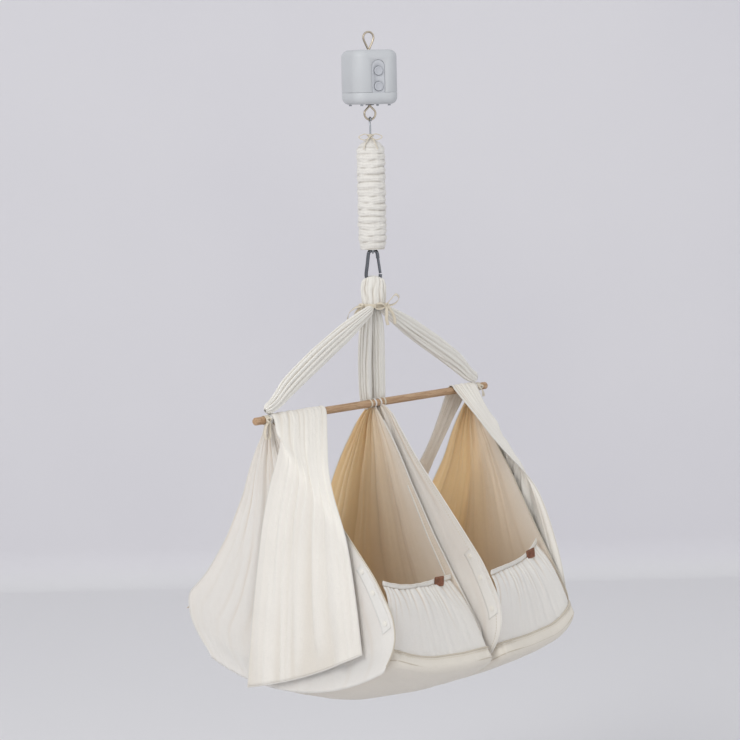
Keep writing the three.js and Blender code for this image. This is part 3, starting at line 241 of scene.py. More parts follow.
def metal(name, colour, rough, drawn=(1.0, 1.0, 1.0)):
    """Plated or bare metal with faint drawing lines and handling marks."""
    g = new_material(name, Metallic=1.0)
    place = g.place()
    lines, marks = g.noise(g.stretch(place, *drawn), 700.0, 3.0), g.noise(place, 45.0, 4.0, 0.65)
    tint = g.mix(marks.step(0.4, 0.8), colour, darker(colour, 0.72))
    return g.dress(tint, rough + 0.16 * marks + 0.08 * lines, g.bump(lines, 0.00006, 0.5))


def timber(name, pale, brown):
    """Beech turned along X: long grain, short dark flecks and a hand-rubbed finish."""
    g = new_material(name, Specular_IOR_Level=0.4)
    place = g.place()
    grain = g.noise(g.stretch(place, 5.0, 120.0, 120.0), 1.0, 5.0, 0.6)
    fleck = g.noise(g.stretch(place, 90.0, 900.0, 900.0), 1.0, 2.0)
    band = (grain * 46.0).sine() * 0.5 + 0.5
    base = g.mix((band * 0.55 + grain * 0.35).clip(), pale, brown)
    colour = g.mix(fleck.step(0.6, 0.72) * 0.5, base, darker(brown, 0.6))
    return g.dress(colour, 0.42 + 0.2 * band, g.bump(band * 0.4 - fleck.step(0.58, 0.7), 0.00012, 0.7))


def hide(name, colour):
    """Smooth leather with pores and darker burnished patches."""
    g = new_material(name, Specular_IOR_Level=0.4)
    place = g.place()
    pores = g.add("ShaderNodeTexVoronoi", {"feature": "DISTANCE_TO_EDGE"}, Vector=place, Scale=1300.0)
    patch = g.noise(place, 90.0, 4.0)
    tint = g.mix(patch.step(0.3, 0.75), colour, darker(colour, 0.62))
    return g.dress(tint, 0.42 + 0.25 * patch, g.bump(pores.step(0.0, 0.25) + patch * 0.4, 0.00015, 0.8))


def laminate(name, colour, copper):
    """Circuit board: solder mask with paler tracks."""
    g = new_material(name)
    sizes = {"Scale": 160.0, "Mortar_Size": 0.06}
    tracks = g.add("ShaderNodeTexBrick", {"offset": 0.5}, Vector=g.place(), out=1, **sizes)
    return g.dress(g.mix(tracks, colour, copper), 0.3 + 0.2 * tracks)


CLOTH_LIGHT = srgb(234, 231, 226)
paint = {
    "shell": moulded("grey moulded shell", srgb(191, 193, 196)),
    "panel": moulded("control panel plastic", srgb(187, 189, 194), 0.36),
    "button": moulded("button plastic", srgb(181, 183, 189), 0.32),
    "port": moulded("brown rubber cover", srgb(112, 86, 70), 0.7, 1.0),
    "gearbox": moulded("cast gear case", srgb(92, 94, 99), 0.6, 1.0),
    "carriage": moulded("dark nylon slide", srgb(92, 94, 99), 0.5),
    "bush": moulded("dark nylon bush", srgb(78, 80, 85), 0.5),
    "board": laminate("circuit board", srgb(44, 98, 62), srgb(96, 150, 96)),
    "steel": metal("zinc plated steel", srgb(168, 171, 176), 0.24),
    "chrome": metal("bright chrome", srgb(112, 114, 120), 0.1),
    "spring_steel": metal("drawn spring steel", srgb(150, 152, 156), 0.3, (1.0, 1.0, 4.0)),
    "nickel": metal("warm nickel plate", srgb(190, 178, 160), 0.22),
    # the second colour of each cotton is its painted shade colour, mixed in by the warmth and fold attributes
    "sleeve_cloth": cotton("ruched sleeve cotton", srgb(234, 231, 226), srgb(176, 164, 146), crease=0.5),
    "sling_cloth": cotton("sling cotton", srgb(242, 238, 230), srgb(184, 160, 128), crease=0.5, through=0.3),
    "cradle_cloth": cotton("cradle cotton", CLOTH_LIGHT, srgb(236, 198, 150), through=0.5),
    "stud_tape": cotton("stud tape cotton", CLOTH_LIGHT, srgb(236, 198, 150)),
    "base_cloth": cotton("base cotton", srgb(226, 219, 208), srgb(196, 178, 150)),
    "canopy_cloth": cotton("canopy muslin", srgb(243, 239, 232), srgb(226, 200, 160), 0.7, 0.5),
    "tape": webbing("cotton tape", srgb(226, 216, 198)),
    "padding": cotton("mattress ticking", srgb(242, 240, 235), srgb(220, 214, 204), 0.7),
    "beech": timber("beech", srgb(196, 164, 132), srgb(150, 116, 84)),
    "leather": hide("tan leather", srgb(134, 82, 58)),
}
thread = webbing("sewing thread", srgb(214, 202, 180))
stud_cap = moulded("press stud cap", srgb(232, 228, 220), 0.4)


# sums on tables and paths
def mix(first, second, share):
    return first + (second - first) * share


def smooth(share):
    share = np.clip(share, 0, 1)
    return share * share * (3 - 2 * share)


def eased(table, share):
    """Value along a table of (share, value) rows, with its corners rounded."""
    fine = np.linspace(-0.1, 1.1, 241)
    kernel = np.hanning(23)
    padded = np.pad(np.interp(fine, *zip(*table)), 11, mode="edge")
    return np.interp(share, fine, np.convolve(padded, kernel / kernel.sum(), "valid"))


def spline(points, steps):
    """Dense centripetal Catmull-Rom path through points; each point may be an array of places."""
    points = [np.asarray(p, float) for p in points]
    ends = [2 * points[0] - points[1], *points, 2 * points[-1] - points[-2]]
    gaps = [max(float(np.linalg.norm(b - a, axis=-1).mean()), 1e-6) ** 0.5 for a, b in zip(ends, ends[1:])]
    rows = []
    for i in range(len(points) - 1):
        (p0, p1, p2, p3), (d0, d1, d2) = ends[i : i + 4], gaps[i : i + 3]
        out = ((p1 - p0) / d0 - (p2 - p0) / (d0 + d1) + (p2 - p1) / d1) * d1
        into = ((p2 - p1) / d1 - (p3 - p1) / (d1 + d2) + (p3 - p2) / d2) * d1
        for t in np.arange(steps) / steps:
            near = (2 * t**3 - 3 * t**2 + 1) * p1 + (t**3 - 2 * t**2 + t) * out
            far = (3 * t**2 - 2 * t**3) * p2 + (t**3 - t**2) * into
            rows.append(near + far)
    return np.array([*rows, points[-1]])


def waves(u, v, seed, counts, drift=0.6):
    """Sum of uneven folds across u that wander a little with v, from -1 to 1."""
    rng = np.random.default_rng(seed)
    total, weight = 0, 0
    for count in counts:
        a, b, c = rng.uniform(0, TURN, 3)
        size = count**-0.55
        wander = drift * np.sin(2.3 * v + b) + 0.8 * np.sin(TURN * u * 1.7 + c)
        total = total + size * np.sin(TURN * count * u + a + wander)
        weight += size
    return total / weight


def pleats(u, v, seed, count):
    """Round pleats with sharp valleys between them, uneven in width, from 0 in a valley to 1."""
    rng = np.random.default_rng(seed)
    a, b, c = rng.uniform(0, TURN, 3)
    uneven = 0.30 * np.sin(TURN * 2 * u + a) + 0.22 * np.sin(TURN * 3 * u + b + 1.1 * v)
    return np.abs(np.sin(math.pi * count * u + math.pi * (uneven + 0.12 * np.sin(3.1 * v + c))))


def ridges(u, v, seed, count, lean=0.08):
    """Separate soft folds, steeper on one side, each with its own place, lean and length, from 0 up."""
    rng = np.random.default_rng(seed)
    total = 0
    for i in range(count):
        centre, width = (i + rng.uniform(0.15, 0.85)) / count, rng.uniform(0.25, 0.6) / count
        slope, start, end = rng.uniform(-lean, lean), rng.uniform(-0.4, 0.3), rng.uniform(0.7, 1.5)
        offset = u - centre - slope * (v - 0.5) - 0.012 * np.sin(6 * v + rng.uniform(0, TURN))
        side = np.where(offset < 0, width * rng.uniform(0.4, 0.8), width * rng.uniform(0.9, 1.6))
        run = smooth((v - start) / 0.25) * smooth((end - v) / 0.3)
        total = total + rng.uniform(0.45, 1.0) * run * np.exp(-((offset / side) ** 2))
    return total


def turn_z(points, angle):
    x, y, z = np.moveaxis(np.asarray(points, float), -1, 0)
    cos, sin = math.cos(angle), math.sin(angle)
    return np.stack([x * cos - y * sin, x * sin + y * cos, z], -1)


def xyz(x, y, z):
    return np.stack(np.broadcast_arrays(np.asarray(x, float), y, z), -1)


def unit(vectors):
    """Vectors at length 1."""
    return vectors / np.maximum(np.linalg.norm(vectors, axis=-1, keepdims=True), 1e-9)


def signed_power(value, power):
    return np.sign(value) * np.abs(value) ** power


# meshes
def add_object(name, data):
    obj = bpy.data.objects.new(name, data)
    bpy.context.scene.collection.objects.link(obj)
    return obj


def finish_piece(obj, body, slot, replaced=(), material=None):
    """Gives a piece its material, from the paint of its slot unless another is given, and its body, and hides
    the CAD nodes that it stands for.
    """
    if not obj.data.materials:
        obj.data.materials.append(material or paint[slot])
    if replaced:
        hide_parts(*([replaced] if isinstance(replaced, str) else replaced))
    if body:
        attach(obj, body)
    return obj


def mesh_object(name, points, faces, flat=None, marks=None):
    """Object from places in millimetres; flat gives each vertex its place on the cloth in metres."""
    mesh = bpy.data.meshes.new(name)
    mesh.from_pydata((np.asarray(points, float) * MM).tolist(), [], faces)
    if flat is not None:
        corners = np.empty(len(mesh.loops), dtype=np.int64)
        mesh.loops.foreach_get("vertex_index", corners)
        places = np.asarray(flat, np.float32)[corners].ravel()
        mesh.uv_layers.new(name="cloth").data.foreach_set("uv", places)
    for key, values in (marks or {}).items():
        marked = mesh.attributes.new(key, "FLOAT", "POINT").data
        marked.foreach_set("value", np.asarray(values, np.float32))
    mesh.polygons.foreach_set("use_smooth", np.ones(len(mesh.polygons), dtype=bool))
    mesh.update()
    return add_object(name, mesh)


def volume(points, faces):
    """Six times the volume that triangles close in, above 0 where they face out."""
    a, b, c = points[np.asarray(faces)].transpose(1, 0, 2)
    return float(np.sum(a * np.cross(b, c)))


def grid_faces(rows, across, around=False, start=0):
    row, column = np.meshgrid(np.arange(rows - 1), np.arange(across if around else across - 1), indexing="ij")
    first, after = row * across + column, row * across + (column + 1) % across
    return np.stack([first, after, after + across, first + across], -1).reshape(-1, 4) + start


def cloth_sheet(name, grid, thick, toward=None, around=False, warmth=0.0, outer_warmth=0.0, fold=0.0):
    """Closed thin sheet over a grid, with its map in metres; the side towards a point is its inside."""
    rows, across = grid.shape[:2]
    wide = np.concatenate([grid[:, -1:], grid, grid[:, :1]], 1) if around else grid
    along = np.gradient(wide, axis=1)
    along = along[:, 1:-1] if around else along
    normal = unit(np.cross(along, np.gradient(grid, axis=0)))
    if toward is not None and float(np.sum(normal * (np.asarray(toward) - grid))) < 0:
        normal = -normal
    points = np.concatenate([(grid + normal * half).reshape(-1, 3) for half in (thick / 2, -thick / 2)])
    size = rows * across
    quads = [grid_faces(rows, across, around), grid_faces(rows, across, around, size)[:, ::-1]]
    column = np.arange(across if around else across - 1)
    after = (column + 1) % across
    quads.append(np.stack([after, column, column + size, after + size], -1))
    quads.append(np.stack([column, after, after + size, column + size], -1) + size - across)
    if not around:
        row = np.arange(rows - 1) * across
        quads.append(np.stack([row, row + across, row + across + size, row + size], -1))
        edge = row + across - 1
        quads.append(np.stack([edge + across, edge, edge + size, edge + across + size], -1))
    quads = np.concatenate(quads)
    if volume(points, quads[:, :3]) + volume(points, quads[:, [0, 2, 3]]) < 0:
        quads = quads[:, ::-1]
    steps = [np.linalg.norm(np.diff(grid, axis=1 - i), axis=-1).mean(i) for i in (0, 1)]
    across_at, down_at = (np.append(0, np.cumsum(step)) * MM for step in steps)
    flat = np.stack(np.broadcast_arrays(across_at[None, :], down_at[:, None]), -1).reshape(-1, 2)
    # warmth and outer_warmth are painted warm shade on the inner and outer faces, fold is painted shade in
    # folds
    marks = {}
    for key, looks in (("warmth", (warmth, outer_warmth)), ("fold", (fold, fold))):
        marks[key] = np.concatenate([np.broadcast_to(look, (rows, across)).ravel() for look in looks])
    return mesh_object(name, points, quads.tolist(), np.tile(flat, (2, 1)), marks)


def ring_body(name, rings):
    """Closed body through a stack of closed rings, with a fan at each end."""
    rings = np.asarray(rings, float)
    rows, across = rings.shape[:2]
    points = np.concatenate([rings.reshape(-1, 3), rings[:1].mean(1), rings[-1:].mean(1)])
    faces = grid_faces(rows, across, True).tolist()
    hub, last = rows * across, (rows - 1) * across
    for i in range(across):
        after = (i + 1) % across
        faces += [[hub, after, i], [hub + 1, last + i, last + after]]
    if volume(points, [face[:3] for face in faces]) < 0:
        faces = [face[::-1] for face in faces]
    return mesh_object(name, points, faces)


def lathe(name, profile, centre, axis, sides=64):
    """Closed turned body: the profile is (radius, distance along the axis) from one end of the axis on."""
    axis = unit(np.asarray(axis, float))
    side = unit(np.cross(axis, [0.0, 0.0, 1.0] if abs(axis[2]) < 0.9 else [1.0, 0.0, 0.0]))
    angle = np.arange(sides)[:, None] * TURN / sides
    circle = np.cos(angle) * side + np.sin(angle) * np.cross(axis, side)
    return ring_body(name, [np.asarray(centre) + axis * h + r * circle for r, h in profile])


def rounded(profile, radius, steps=4):
    """Profile whose inner corners are rounded by an arc of about the given radius."""
    points = [np.asarray(p, float) for p in profile]
    out = [points[0]]
    for before, corner, after in zip(points, points[1:], points[2:]):
        a, b = before - corner, after - corner
        reach = min(radius, np.linalg.norm(a) / 2, np.linalg.norm(b) / 2)
        a, b = corner + unit(a) * reach, corner + unit(b) * reach
        for t in np.linspace(0, 1, steps + 1):
            out.append((1 - t) ** 2 * a + 2 * t * (1 - t) * corner + t * t * b)
    return [tuple(p) for p in [*out, points[-1]]]


def carve(obj, *tools):
    """Cuts closed tools out of a closed body and leaves a plain mesh."""
    for tool in tools:
        cutter = obj.modifiers.new("cut", "BOOLEAN")
        cutter.object, cutter.operation, cutter.solver = tool, "DIFFERENCE", "EXACT"
    flatten(obj)
    for tool in tools:
        bpy.data.objects.remove(tool)


def flatten(obj):
    """Replaces an object's data with the mesh that its modifiers make."""
    bpy.context.view_layer.update()
    mesh = bpy.data.meshes.new_from_object(obj.evaluated_get(bpy.context.evaluated_depsgraph_get()))
    if obj.type == "MESH":
        obj.modifiers.clear()
        obj.data = mesh
        return obj
    name = obj.name
    bpy.data.objects.remove(obj)
    return add_object(name, mesh)


# geometry node trees
def new_tree(name, **inputs):
    """Geometry tree with named inputs for its sizes, and the signals of those inputs by name."""
    tree = bpy.data.node_groups.new(name, "GeometryNodeTree")
    tree.interface.new_socket("Geometry", in_out="OUTPUT", socket_type="NodeSocketGeometry")
    tree.interface.new_socket("Geometry", in_out="INPUT", socket_type="NodeSocketGeometry")
    for key, value in inputs.items():
        kind = {int: "NodeSocketInt", float: "NodeSocketFloat"}.get(type(value), "NodeSocketMaterial")
        socket = tree.interface.new_socket(key.replace("_", " "), in_out="INPUT", socket_type=kind)
        if value is not None:
            socket.default_value = value
    graph, graph.given = Graph(tree), {}
    source = tree.nodes.new("NodeGroupInput")
    for i, socket in enumerate(source.outputs[:-1]):
        graph.given[socket.name] = Signal(graph, source.outputs[i])
    return graph


def end_tree(graph, geometry):
    """Ends a tree in Realize Instances and Set Material."""
    geometry = graph.add("GeometryNodeRealizeInstances", {}, geometry)
    geometry = graph.add("GeometryNodeSetMaterial", {}, geometry, Material=graph.given["Material"])
    graph.tree.links.new(geometry.socket, graph.tree.nodes.new("NodeGroupOutput").inputs[0])
    return graph.tree


def capture(g, geometry, value):
    """Keeps a value with the geometry; gives both."""
    node = g.tree.nodes.new("GeometryNodeCaptureAttribute")
    node.capture_items.new("FLOAT", "kept")
    for signal, socket in zip((geometry, value), node.inputs):
        g.tree.links.new(signal.socket, socket)
    return Signal(g, node.outputs[0]), Signal(g, node.outputs[1])


def wire_tree():
    """Round wire, cord or piping along a curve, with its map in metres."""
    g = new_tree("wire along a path", Radius=0.002, Sides=14, Material=None)
    sides, radius = g.given["Sides"], g.given["Radius"]
    circle = g.add("GeometryNodeCurvePrimitiveCircle", {}, Resolution=sides, Radius=radius)
    path, down = capture(g, g.given["Geometry"], g.add("GeometryNodeSplineParameter", {}, out=1))
    profile, around = capture(g, circle, g.add("GeometryNodeSplineParameter", {}))
    tube = g.add("GeometryNodeCurveToMesh", {}, path, profile, Fill_Caps=True)
    place = g.add("ShaderNodeCombineXYZ", {}, around * radius * TURN, down, 0.0)
    on_corners = {"data_type": "FLOAT2", "domain": "CORNER"}
    stored = g.add("GeometryNodeStoreNamedAttribute", on_corners, tube, Name="cloth", Value=place)
    return end_tree(g, g.add("GeometryNodeSetShadeSmooth", {}, stored))


def stitch_tree():
    """A row of short stitches along a curve."""
    g = new_tree("stitches along a path", Stitch=0.004, Gap=0.002, Radius=0.0004, Material=None)
    pitch = g.given["Stitch"] + g.given["Gap"]
    spots = g.add("GeometryNodeResampleCurve", {"mode": "LENGTH"}, g.given["Geometry"], Length=pitch)
    ends = [g.add("ShaderNodeCombineXYZ", {}, 0.0, 0.0, g.given["Stitch"] * half) for half in (-0.5, 0.5)]
    line = g.add("GeometryNodeCurvePrimitiveLine", {}, *ends)
    circle = g.add("GeometryNodeCurvePrimitiveCircle", {}, Resolution=5, Radius=g.given["Radius"])
    stitch = g.add("GeometryNodeCurveToMesh", {}, line, circle, Fill_Caps=True)
    return end_tree(g, instances(g, spots, stitch, g.add("GeometryNodeInputTangent", {})))


def instances(g, points, shape, aim):
    """The shape at each point, its upright along the aim."""
    turned = g.add("FunctionNodeAlignEulerToVector", {"axis": "Z"}, Vector=aim)
    return g.add("GeometryNodeInstanceOnPoints", {}, points, Instance=shape, Rotation=turned)


def stud_tree():
    """A domed head with a rim at each vertex, facing along the attribute aim."""
    g = new_tree("studs on points", Radius=0.0055, Height=0.002, Material=None)
    radius, height = g.given["Radius"], g.given["Height"]
    rim = g.add("GeometryNodeMeshCylinder", {}, Vertices=28, Radius=radius, Depth=height)
    inner = g.add("GeometryNodeMeshCylinder", {}, Vertices=24, Radius=radius * 0.66, Depth=height * 1.5)
    dome = g.add("GeometryNodeMeshUVSphere", {}, Segments=20, Rings=8, Radius=radius * 0.4)
    lift = g.add("ShaderNodeCombineXYZ", {}, 0.0, 0.0, height * 0.62)
    dome = g.add("GeometryNodeTransform", {}, dome, Translation=lift, Scale=(1.0, 1.0, 0.45))
    head = g.tree.nodes.new("GeometryNodeJoinGeometry")
    for shape in (rim, inner, dome):
        g.tree.links.new(shape.socket, head.inputs[0])
    aim = g.add("GeometryNodeInputNamedAttribute", {"data_type": "FLOAT_VECTOR"}, "aim")
    return end_tree(g, instances(g, g.given["Geometry"], Signal(g, head.outputs[0]), aim))


wires, stitches, studs = wire_tree(), stitch_tree(), stud_tree()


def grow(obj, tree, material, **sizes):
    """Runs a geometry tree on an object, with its sizes in metres, and keeps the result as a plain mesh."""
    modifier = obj.modifiers.new("made", "NODES")
    modifier.node_group = tree
    sizes["Material"] = material
    for item in tree.interface.items_tree:
        if item.in_out == "INPUT" and item.name in sizes:
            modifier[item.identifier] = sizes[item.name]
    return flatten(obj)


def curve_object(name, paths, closed=False, radii=None):
    """Curve along one or more paths in millimetres, with a share of the wire's radius at each point."""
    curve = bpy.data.curves.new(name, "CURVE")
    curve.dimensions = "3D"
    for path in [paths] if np.ndim(paths[0]) == 1 else paths:
        line = curve.splines.new("POLY")
        line.points.add(len(path) - 1)
        places = np.concatenate([np.asarray(path) * MM, np.ones((len(path), 1))], 1)
        line.points.foreach_set("co", places.ravel())
        line.use_cyclic_u = closed
        if radii is not None:
            line.points.foreach_set("radius", radii)
    return add_object(name, curve)


def bend_wire(name, paths, size, finish, sides=14, closed=False, radii=None):
    """Wire of one finish as a plain object."""
    curve = curve_object(name, paths, closed, radii)
    return grow(curve, wires, finish, Radius=size / 2 * MM, Sides=sides)


def wire(name, paths, size, body, slot, replaced=(), closed=False, sides=14, material=None):
    """Wire or cord as a finished piece."""
    obj = bend_wire(name, paths, size, material or paint[slot], sides, closed)
    return finish_piece(obj, body, slot, replaced)


def sew(name, paths, body, slot, stitch=4.0, gap=2.0, radius=0.45, material=None):
    """Stitches as a finished piece."""
    sizes = {"Stitch": stitch * MM, "Gap": gap * MM, "Radius": radius * MM}
    finish_piece(grow(curve_object(name, paths), stitches, material or thread, **sizes), body, slot)


def ribbon(name, path, width, across):
    """Flat tape along a path, its width lying along one direction."""
    forward = unit(np.gradient(path, axis=0))
    across = np.broadcast_to(np.asarray(across, float), path.shape)
    across = unit(across - forward * np.sum(across * forward, 1, keepdims=True))
    lanes = np.linspace(-0.5, 0.5, 5) * width
    return cloth_sheet(name, path[:, None] + across[:, None] * lanes[None, :, None], 0.9)


def heads(name, places, aims, radius, height, body, slot, material):
    """Stud heads as a finished piece, each facing its own way."""
    obj = mesh_object(name, places, [])
    aim = obj.data.attributes.new("aim", "FLOAT_VECTOR", "POINT").data
    aim.foreach_set("vector", np.asarray(aims, np.float32).ravel())
    finish_piece(grow(obj, studs, material, Radius=radius * MM, Height=height * MM), body, slot)


# camera, room and light
def make_camera():
    azimuth, pitch, roll = rad(-48), rad(6.3), rad(1.2)
    right = Vector((math.cos(azimuth), math.sin(azimuth), 0))
    back = Vector((right.y, -right.x, 0)) * math.cos(pitch) + Vector((0, 0, math.sin(pitch)))
    up = right.cross(-back)
    turned_right = right * math.cos(roll) - up * math.sin(roll)
    turned_up = right * math.sin(roll) + up * math.cos(roll)
    data = bpy.data.cameras.new("camera")
    data.lens, data.sensor_width, data.shift_x, data.clip_end = 121.08, 36, -0.00716, 60
    camera = add_object("camera", data)
    axes = Matrix((turned_right, turned_up, back)).transposed().to_4x4()
    middle, distance = Vector((0, 0, -0.752)), 5.6
    camera.matrix_world = Matrix.Translation(middle + back * distance) @ axes
    bpy.context.scene.camera = camera
    return right, back


def make_room(right, back):
    """Pale floor that curves up into a pale wall behind the object."""
    away = np.array([-back.x, -back.y, 0]) / math.hypot(back.x, back.y)
    floor, wall_at, bend, reach = -1950.0, 3670.0, 140.0, 9000
    turn = np.linspace(0, math.pi / 2, 16)
    curve = zip(wall_at - bend + bend * np.sin(turn), floor + bend - bend * np.cos(turn))
    profile = [(-reach, floor), (-2000, floor), *curve, (wall_at, 6500.0)]
    edges = (np.array(right) * -reach, np.array(right) * reach)
    points = [away * distance + edge + [0, 0, z] for distance, z in profile for edge in edges]
    room = mesh_object("room", points, grid_faces(len(profile), 2)[:, ::-1].tolist())
    g = new_material("pale_room", Roughness=0.9, Specular_IOR_Level=0.1)
    place = g.place()
    cloudy = g.noise(place, 0.7, 2.0)
    wall = g.mix(cloudy.step(0.3, 0.7), srgb(224, 222, 227), srgb(228, 226, 230))
    room.data.materials.append(g.dress(g.mix(g.axis(place, 2).step(-1.95, -1.86), srgb(228, 227, 229), wall)))


def make_light(name, place, size, power, colour):
    """Round lamp that faces the middle of the object."""
    data = bpy.data.lights.new(name, "AREA")
    data.shape, data.size, data.energy, data.color = "DISK", size, power, colour
    turn = (-place).to_track_quat("-Z", "Y")
    middle = Vector((0, 0, -0.85))
    add_object(name, data).matrix_world = Matrix.Translation(middle + place) @ turn.to_matrix().to_4x4()


def make_lights(right, back):
    make_light("key", back * 3.3 - right * 2.0 + Vector((0, 0, 2.0)), 2.0, 70, (1.0, 0.99, 0.97))
    make_light("fill", back * 3.2 + right * 3.0 + Vector((0, 0, 0.6)), 3.0, 18, (1.0, 1.0, 1.0))
    world = bpy.data.worlds.new("room_light")
    world.use_nodes = True
    inputs = world.node_tree.nodes["Background"].inputs
    inputs["Color"].default_value = (*srgb(238, 240, 242), 1)
    inputs["Strength"].default_value = 0.885
    bpy.context.scene.world = world
    bpy.context.scene.view_settings.view_transform = "Standard"


facing_right, facing_back = make_camera()
make_room(facing_right, facing_back)
make_lights(facing_right, facing_back)


# motor unit
def rounded_rectangle(width, height, radius, segments=10):
    """Outline with rounded corners, as (x, y) rows going counter-clockwise."""
    rows = []
    for i, (sign_x, sign_y) in enumerate(((1, 1), (-1, 1), (-1, -1), (1, -1))):
        angle = (i + np.linspace(0, 1, segments + 1)) * math.pi / 2
        x = sign_x * (width / 2 - radius) + radius * np.cos(angle)
        y = sign_y * (height / 2 - radius) + radius * np.sin(angle)
        rows.append(np.stack([x, y], -1))
    return np.concatenate(rows)


def plate(name, width, height, radius, rows, segments=10, z=0.0):
    """Upright plate in the XZ plane: each row is (inset, y)."""
    rings = []
    for inset, y in rows:
        corner = max(radius - inset, 0.2)
        outline = rounded_rectangle(width - 2 * inset, height - 2 * inset, corner, segments)
        rings.append(xyz(outline[:, 0], y, outline[:, 1] + z))
    return ring_body(name, rings)


def block(name, inset, low, high, cut_low):
    """The housing's rounded block between two heights, cut off with a small chamfer at one of them."""
    edge = HOUSING_EDGE - inset
    chamfer = [(0.7, 0), (0.25, 0.25), (0, 0.8)]
    arc = [(edge * (1 - math.sin(a)), edge * (1 - math.cos(a))) for a in np.linspace(0, math.pi / 2, 14)]
    foot, head = (chamfer, arc) if cut_low else (arc, chamfer)
    rings = []
    for more, z in [*((m, low + rise) for m, rise in foot), *((m, high - rise) for m, rise in head[::-1])]:
        width = HOUSING_WIDTH - 2 * (inset + more)
        outline = rounded_rectangle(width, width, HOUSING_CORNER - inset - more, 12)
        rings.append(xyz(outline[:, 0], outline[:, 1], z))
    return ring_body(name, rings)


def cylinder(radius, low, high, x=0.0, y=0.0, sides=40):
    return lathe("tool", [(radius, low), (radius, high)], (x, y, 0), (0, 0, 1), sides)


def turned(obj, yaw):
    """Turns an object's mesh about the upright axis."""
    obj.data.transform(Matrix.Rotation(yaw, 4, "Z"))
    return obj


def join_shells(first, *others):
    """Adds the closed bodies of other objects to the first one's mesh."""
    whole = bmesh.new()
    for obj in (first, *others):
        whole.from_mesh(obj.data)
    whole.to_mesh(first.data)
    whole.free()
    for obj in others:
        bpy.data.objects.remove(obj)
    return first


PORT_PLACE = Matrix.Translation((HOUSING_WIDTH / 2 * MM, 0, (HOUSING_TOP - 38) * MM))
PORT_PLACE @= Matrix.Rotation(math.pi / 2, 4, "Z")
SCREW_INSET = 20.5


def screw_posts(radius, low, high):
    """Uprights at the housing's four screws."""
    reach = HOUSING_WIDTH / 2 - SCREW_INSET
    places = [(x * reach, y * reach) for x in (-1, 1) for y in (-1, 1)]
    return [cylinder(radius, low, high, *place, 20) for place in places]


def make_housing():
    front, wall = -HOUSING_WIDTH / 2, HOUSING_WALL
    below, above = SEAM_HEIGHT - 0.15, SEAM_HEIGHT + 0.15
    cover = block("housing_cover", 0, above, HOUSING_TOP, True)
    inside = block("tool", wall, above - 9, HOUSING_TOP - wall, True)
    opening = (PANEL_WIDTH + 0.6, PANEL_HEIGHT + 0.6, PANEL_WIDTH / 2 + 0.3)
    slot = plate("tool", *opening, [(0, front - 3), (0, front + wall + 2)], 16, PANEL_CENTRE)
    rim = plate("tool", *opening, [(-2.2, front - 1), (0.02, front + 1.1)], 16, PANEL_CENTRE)
    port = plate("tool", 10, 15, 3, [(0, -6), (0, 6)])
    port.data.transform(PORT_PLACE)
    carve(cover, inside, slot, rim, port, cylinder(3.8, HOUSING_TOP - 8, HOUSING_TOP + 4))
    posts = screw_posts(4.5, HOUSING_BOTTOM + wall + 3, HOUSING_TOP - wall + 0.5)
    for side in (-1, 1):
        for level in (-1, 1):
            place = (side * 20.5, front + 1.2, PANEL_CENTRE + level * 22)
            posts.append(lathe("tool", [(2.5, 0), (2.5, 9.5)], place, (0, 1, 0), 20))
    join_shells(cover, *posts)
    finish_piece(turned(cover, MOTOR_YAW), "motor_unit", "shell", "housing_upper")
    base = block("housing_tray", 0, HOUSING_BOTTOM, below, False)
    inside = block("tool", wall, HOUSING_BOTTOM + wall, below + 9, False)
    depth = (HOUSING_BOTTOM - 4, HOUSING_BOTTOM + 6)
    carve(base, inside, cylinder(6.6, *depth), *screw_posts(2.3, *depth))
    finish_piece(turned(base, MOTOR_YAW), "motor_unit", "shell", "housing_base")


def make_controls():
    front = -HOUSING_WIDTH / 2 + PANEL_GROOVE
    edge = [(1.1, 0), (0.5, 0.15), (0.12, 0.6), (0, 1.3), (0, PANEL_THICK)]
    rows = [(inset, front + depth) for inset, depth in edge]
    panel = plate("button_panel", PANEL_WIDTH, PANEL_HEIGHT, PANEL_WIDTH / 2, rows, 18, PANEL_CENTRE)
    levels = {name: PANEL_CENTRE + side * BUTTON_SPACING / 2 for name, side in (("upper", 1), ("lower", -1))}
    recess = [(11.6, -1), (10.3, 1.0), (10.3, 8)]
    carve(panel, *(lathe("tool", recess, (0, front, z), (0, 1, 0), 56) for z in levels.values()))
    finish_piece(turned(panel, MOTOR_YAW), "motor_unit", "panel", "control_panel")
    dish = [(0.01, 1.25), (2.5, 1.2), (4.6, 1.0), (6.2, 0.65), (7.2, 0.3), (7.9, 0.06)]
    dish += [(8.5, 0.0), (9.1, 0.1), (9.6, 0.45), (9.93, 1.0), (10.0, 1.8), (10.0, 7.0)]
    for name, z in levels.items():
        button = lathe(f"{name}_push_button", dish, (0, front - 3, z), (0, 1, 0), 72)
        finish_piece(turned(button, MOTOR_YAW), f"{name}_button_body", "button", f"{name}_button")
    flap = plate("port_flap", 9.4, 14.4, 2.7, [(1.6, 2.0), (0.6, 1.75), (0.1, 1.1), (0, 0.3), (0, -2.5)])
    flap.data.transform(PORT_PLACE)
    finish_piece(turned(flap, MOTOR_YAW), "motor_unit", "port", "port_cover")


def tipped_wire(name, path, size, finish, sides=16):
    """Solid wire with round tips, as a plain object."""
    radius, first, last = size / 2, path[0], path[-1]
    steps = np.array([0.03, 0.15, 0.35, 0.65, 1.0])
    head = first + steps[:, None] * radius * unit(path[1] - first)
    tail = last + steps[::-1, None] * radius * unit(path[-2] - last)
    near = [np.linalg.norm(path[1:-1] - end, axis=1) for end in (first, last)]
    keep = path[1:-1][np.minimum(*near) > radius]
    share = np.sqrt(1 - (1 - steps) ** 2)
    shares = [0.05, *share, *np.ones(len(keep)), *share[::-1], 0.05]
    return bend_wire(name, np.array([first, *head, *keep, *tail, last]), size, finish, sides, False, shares)


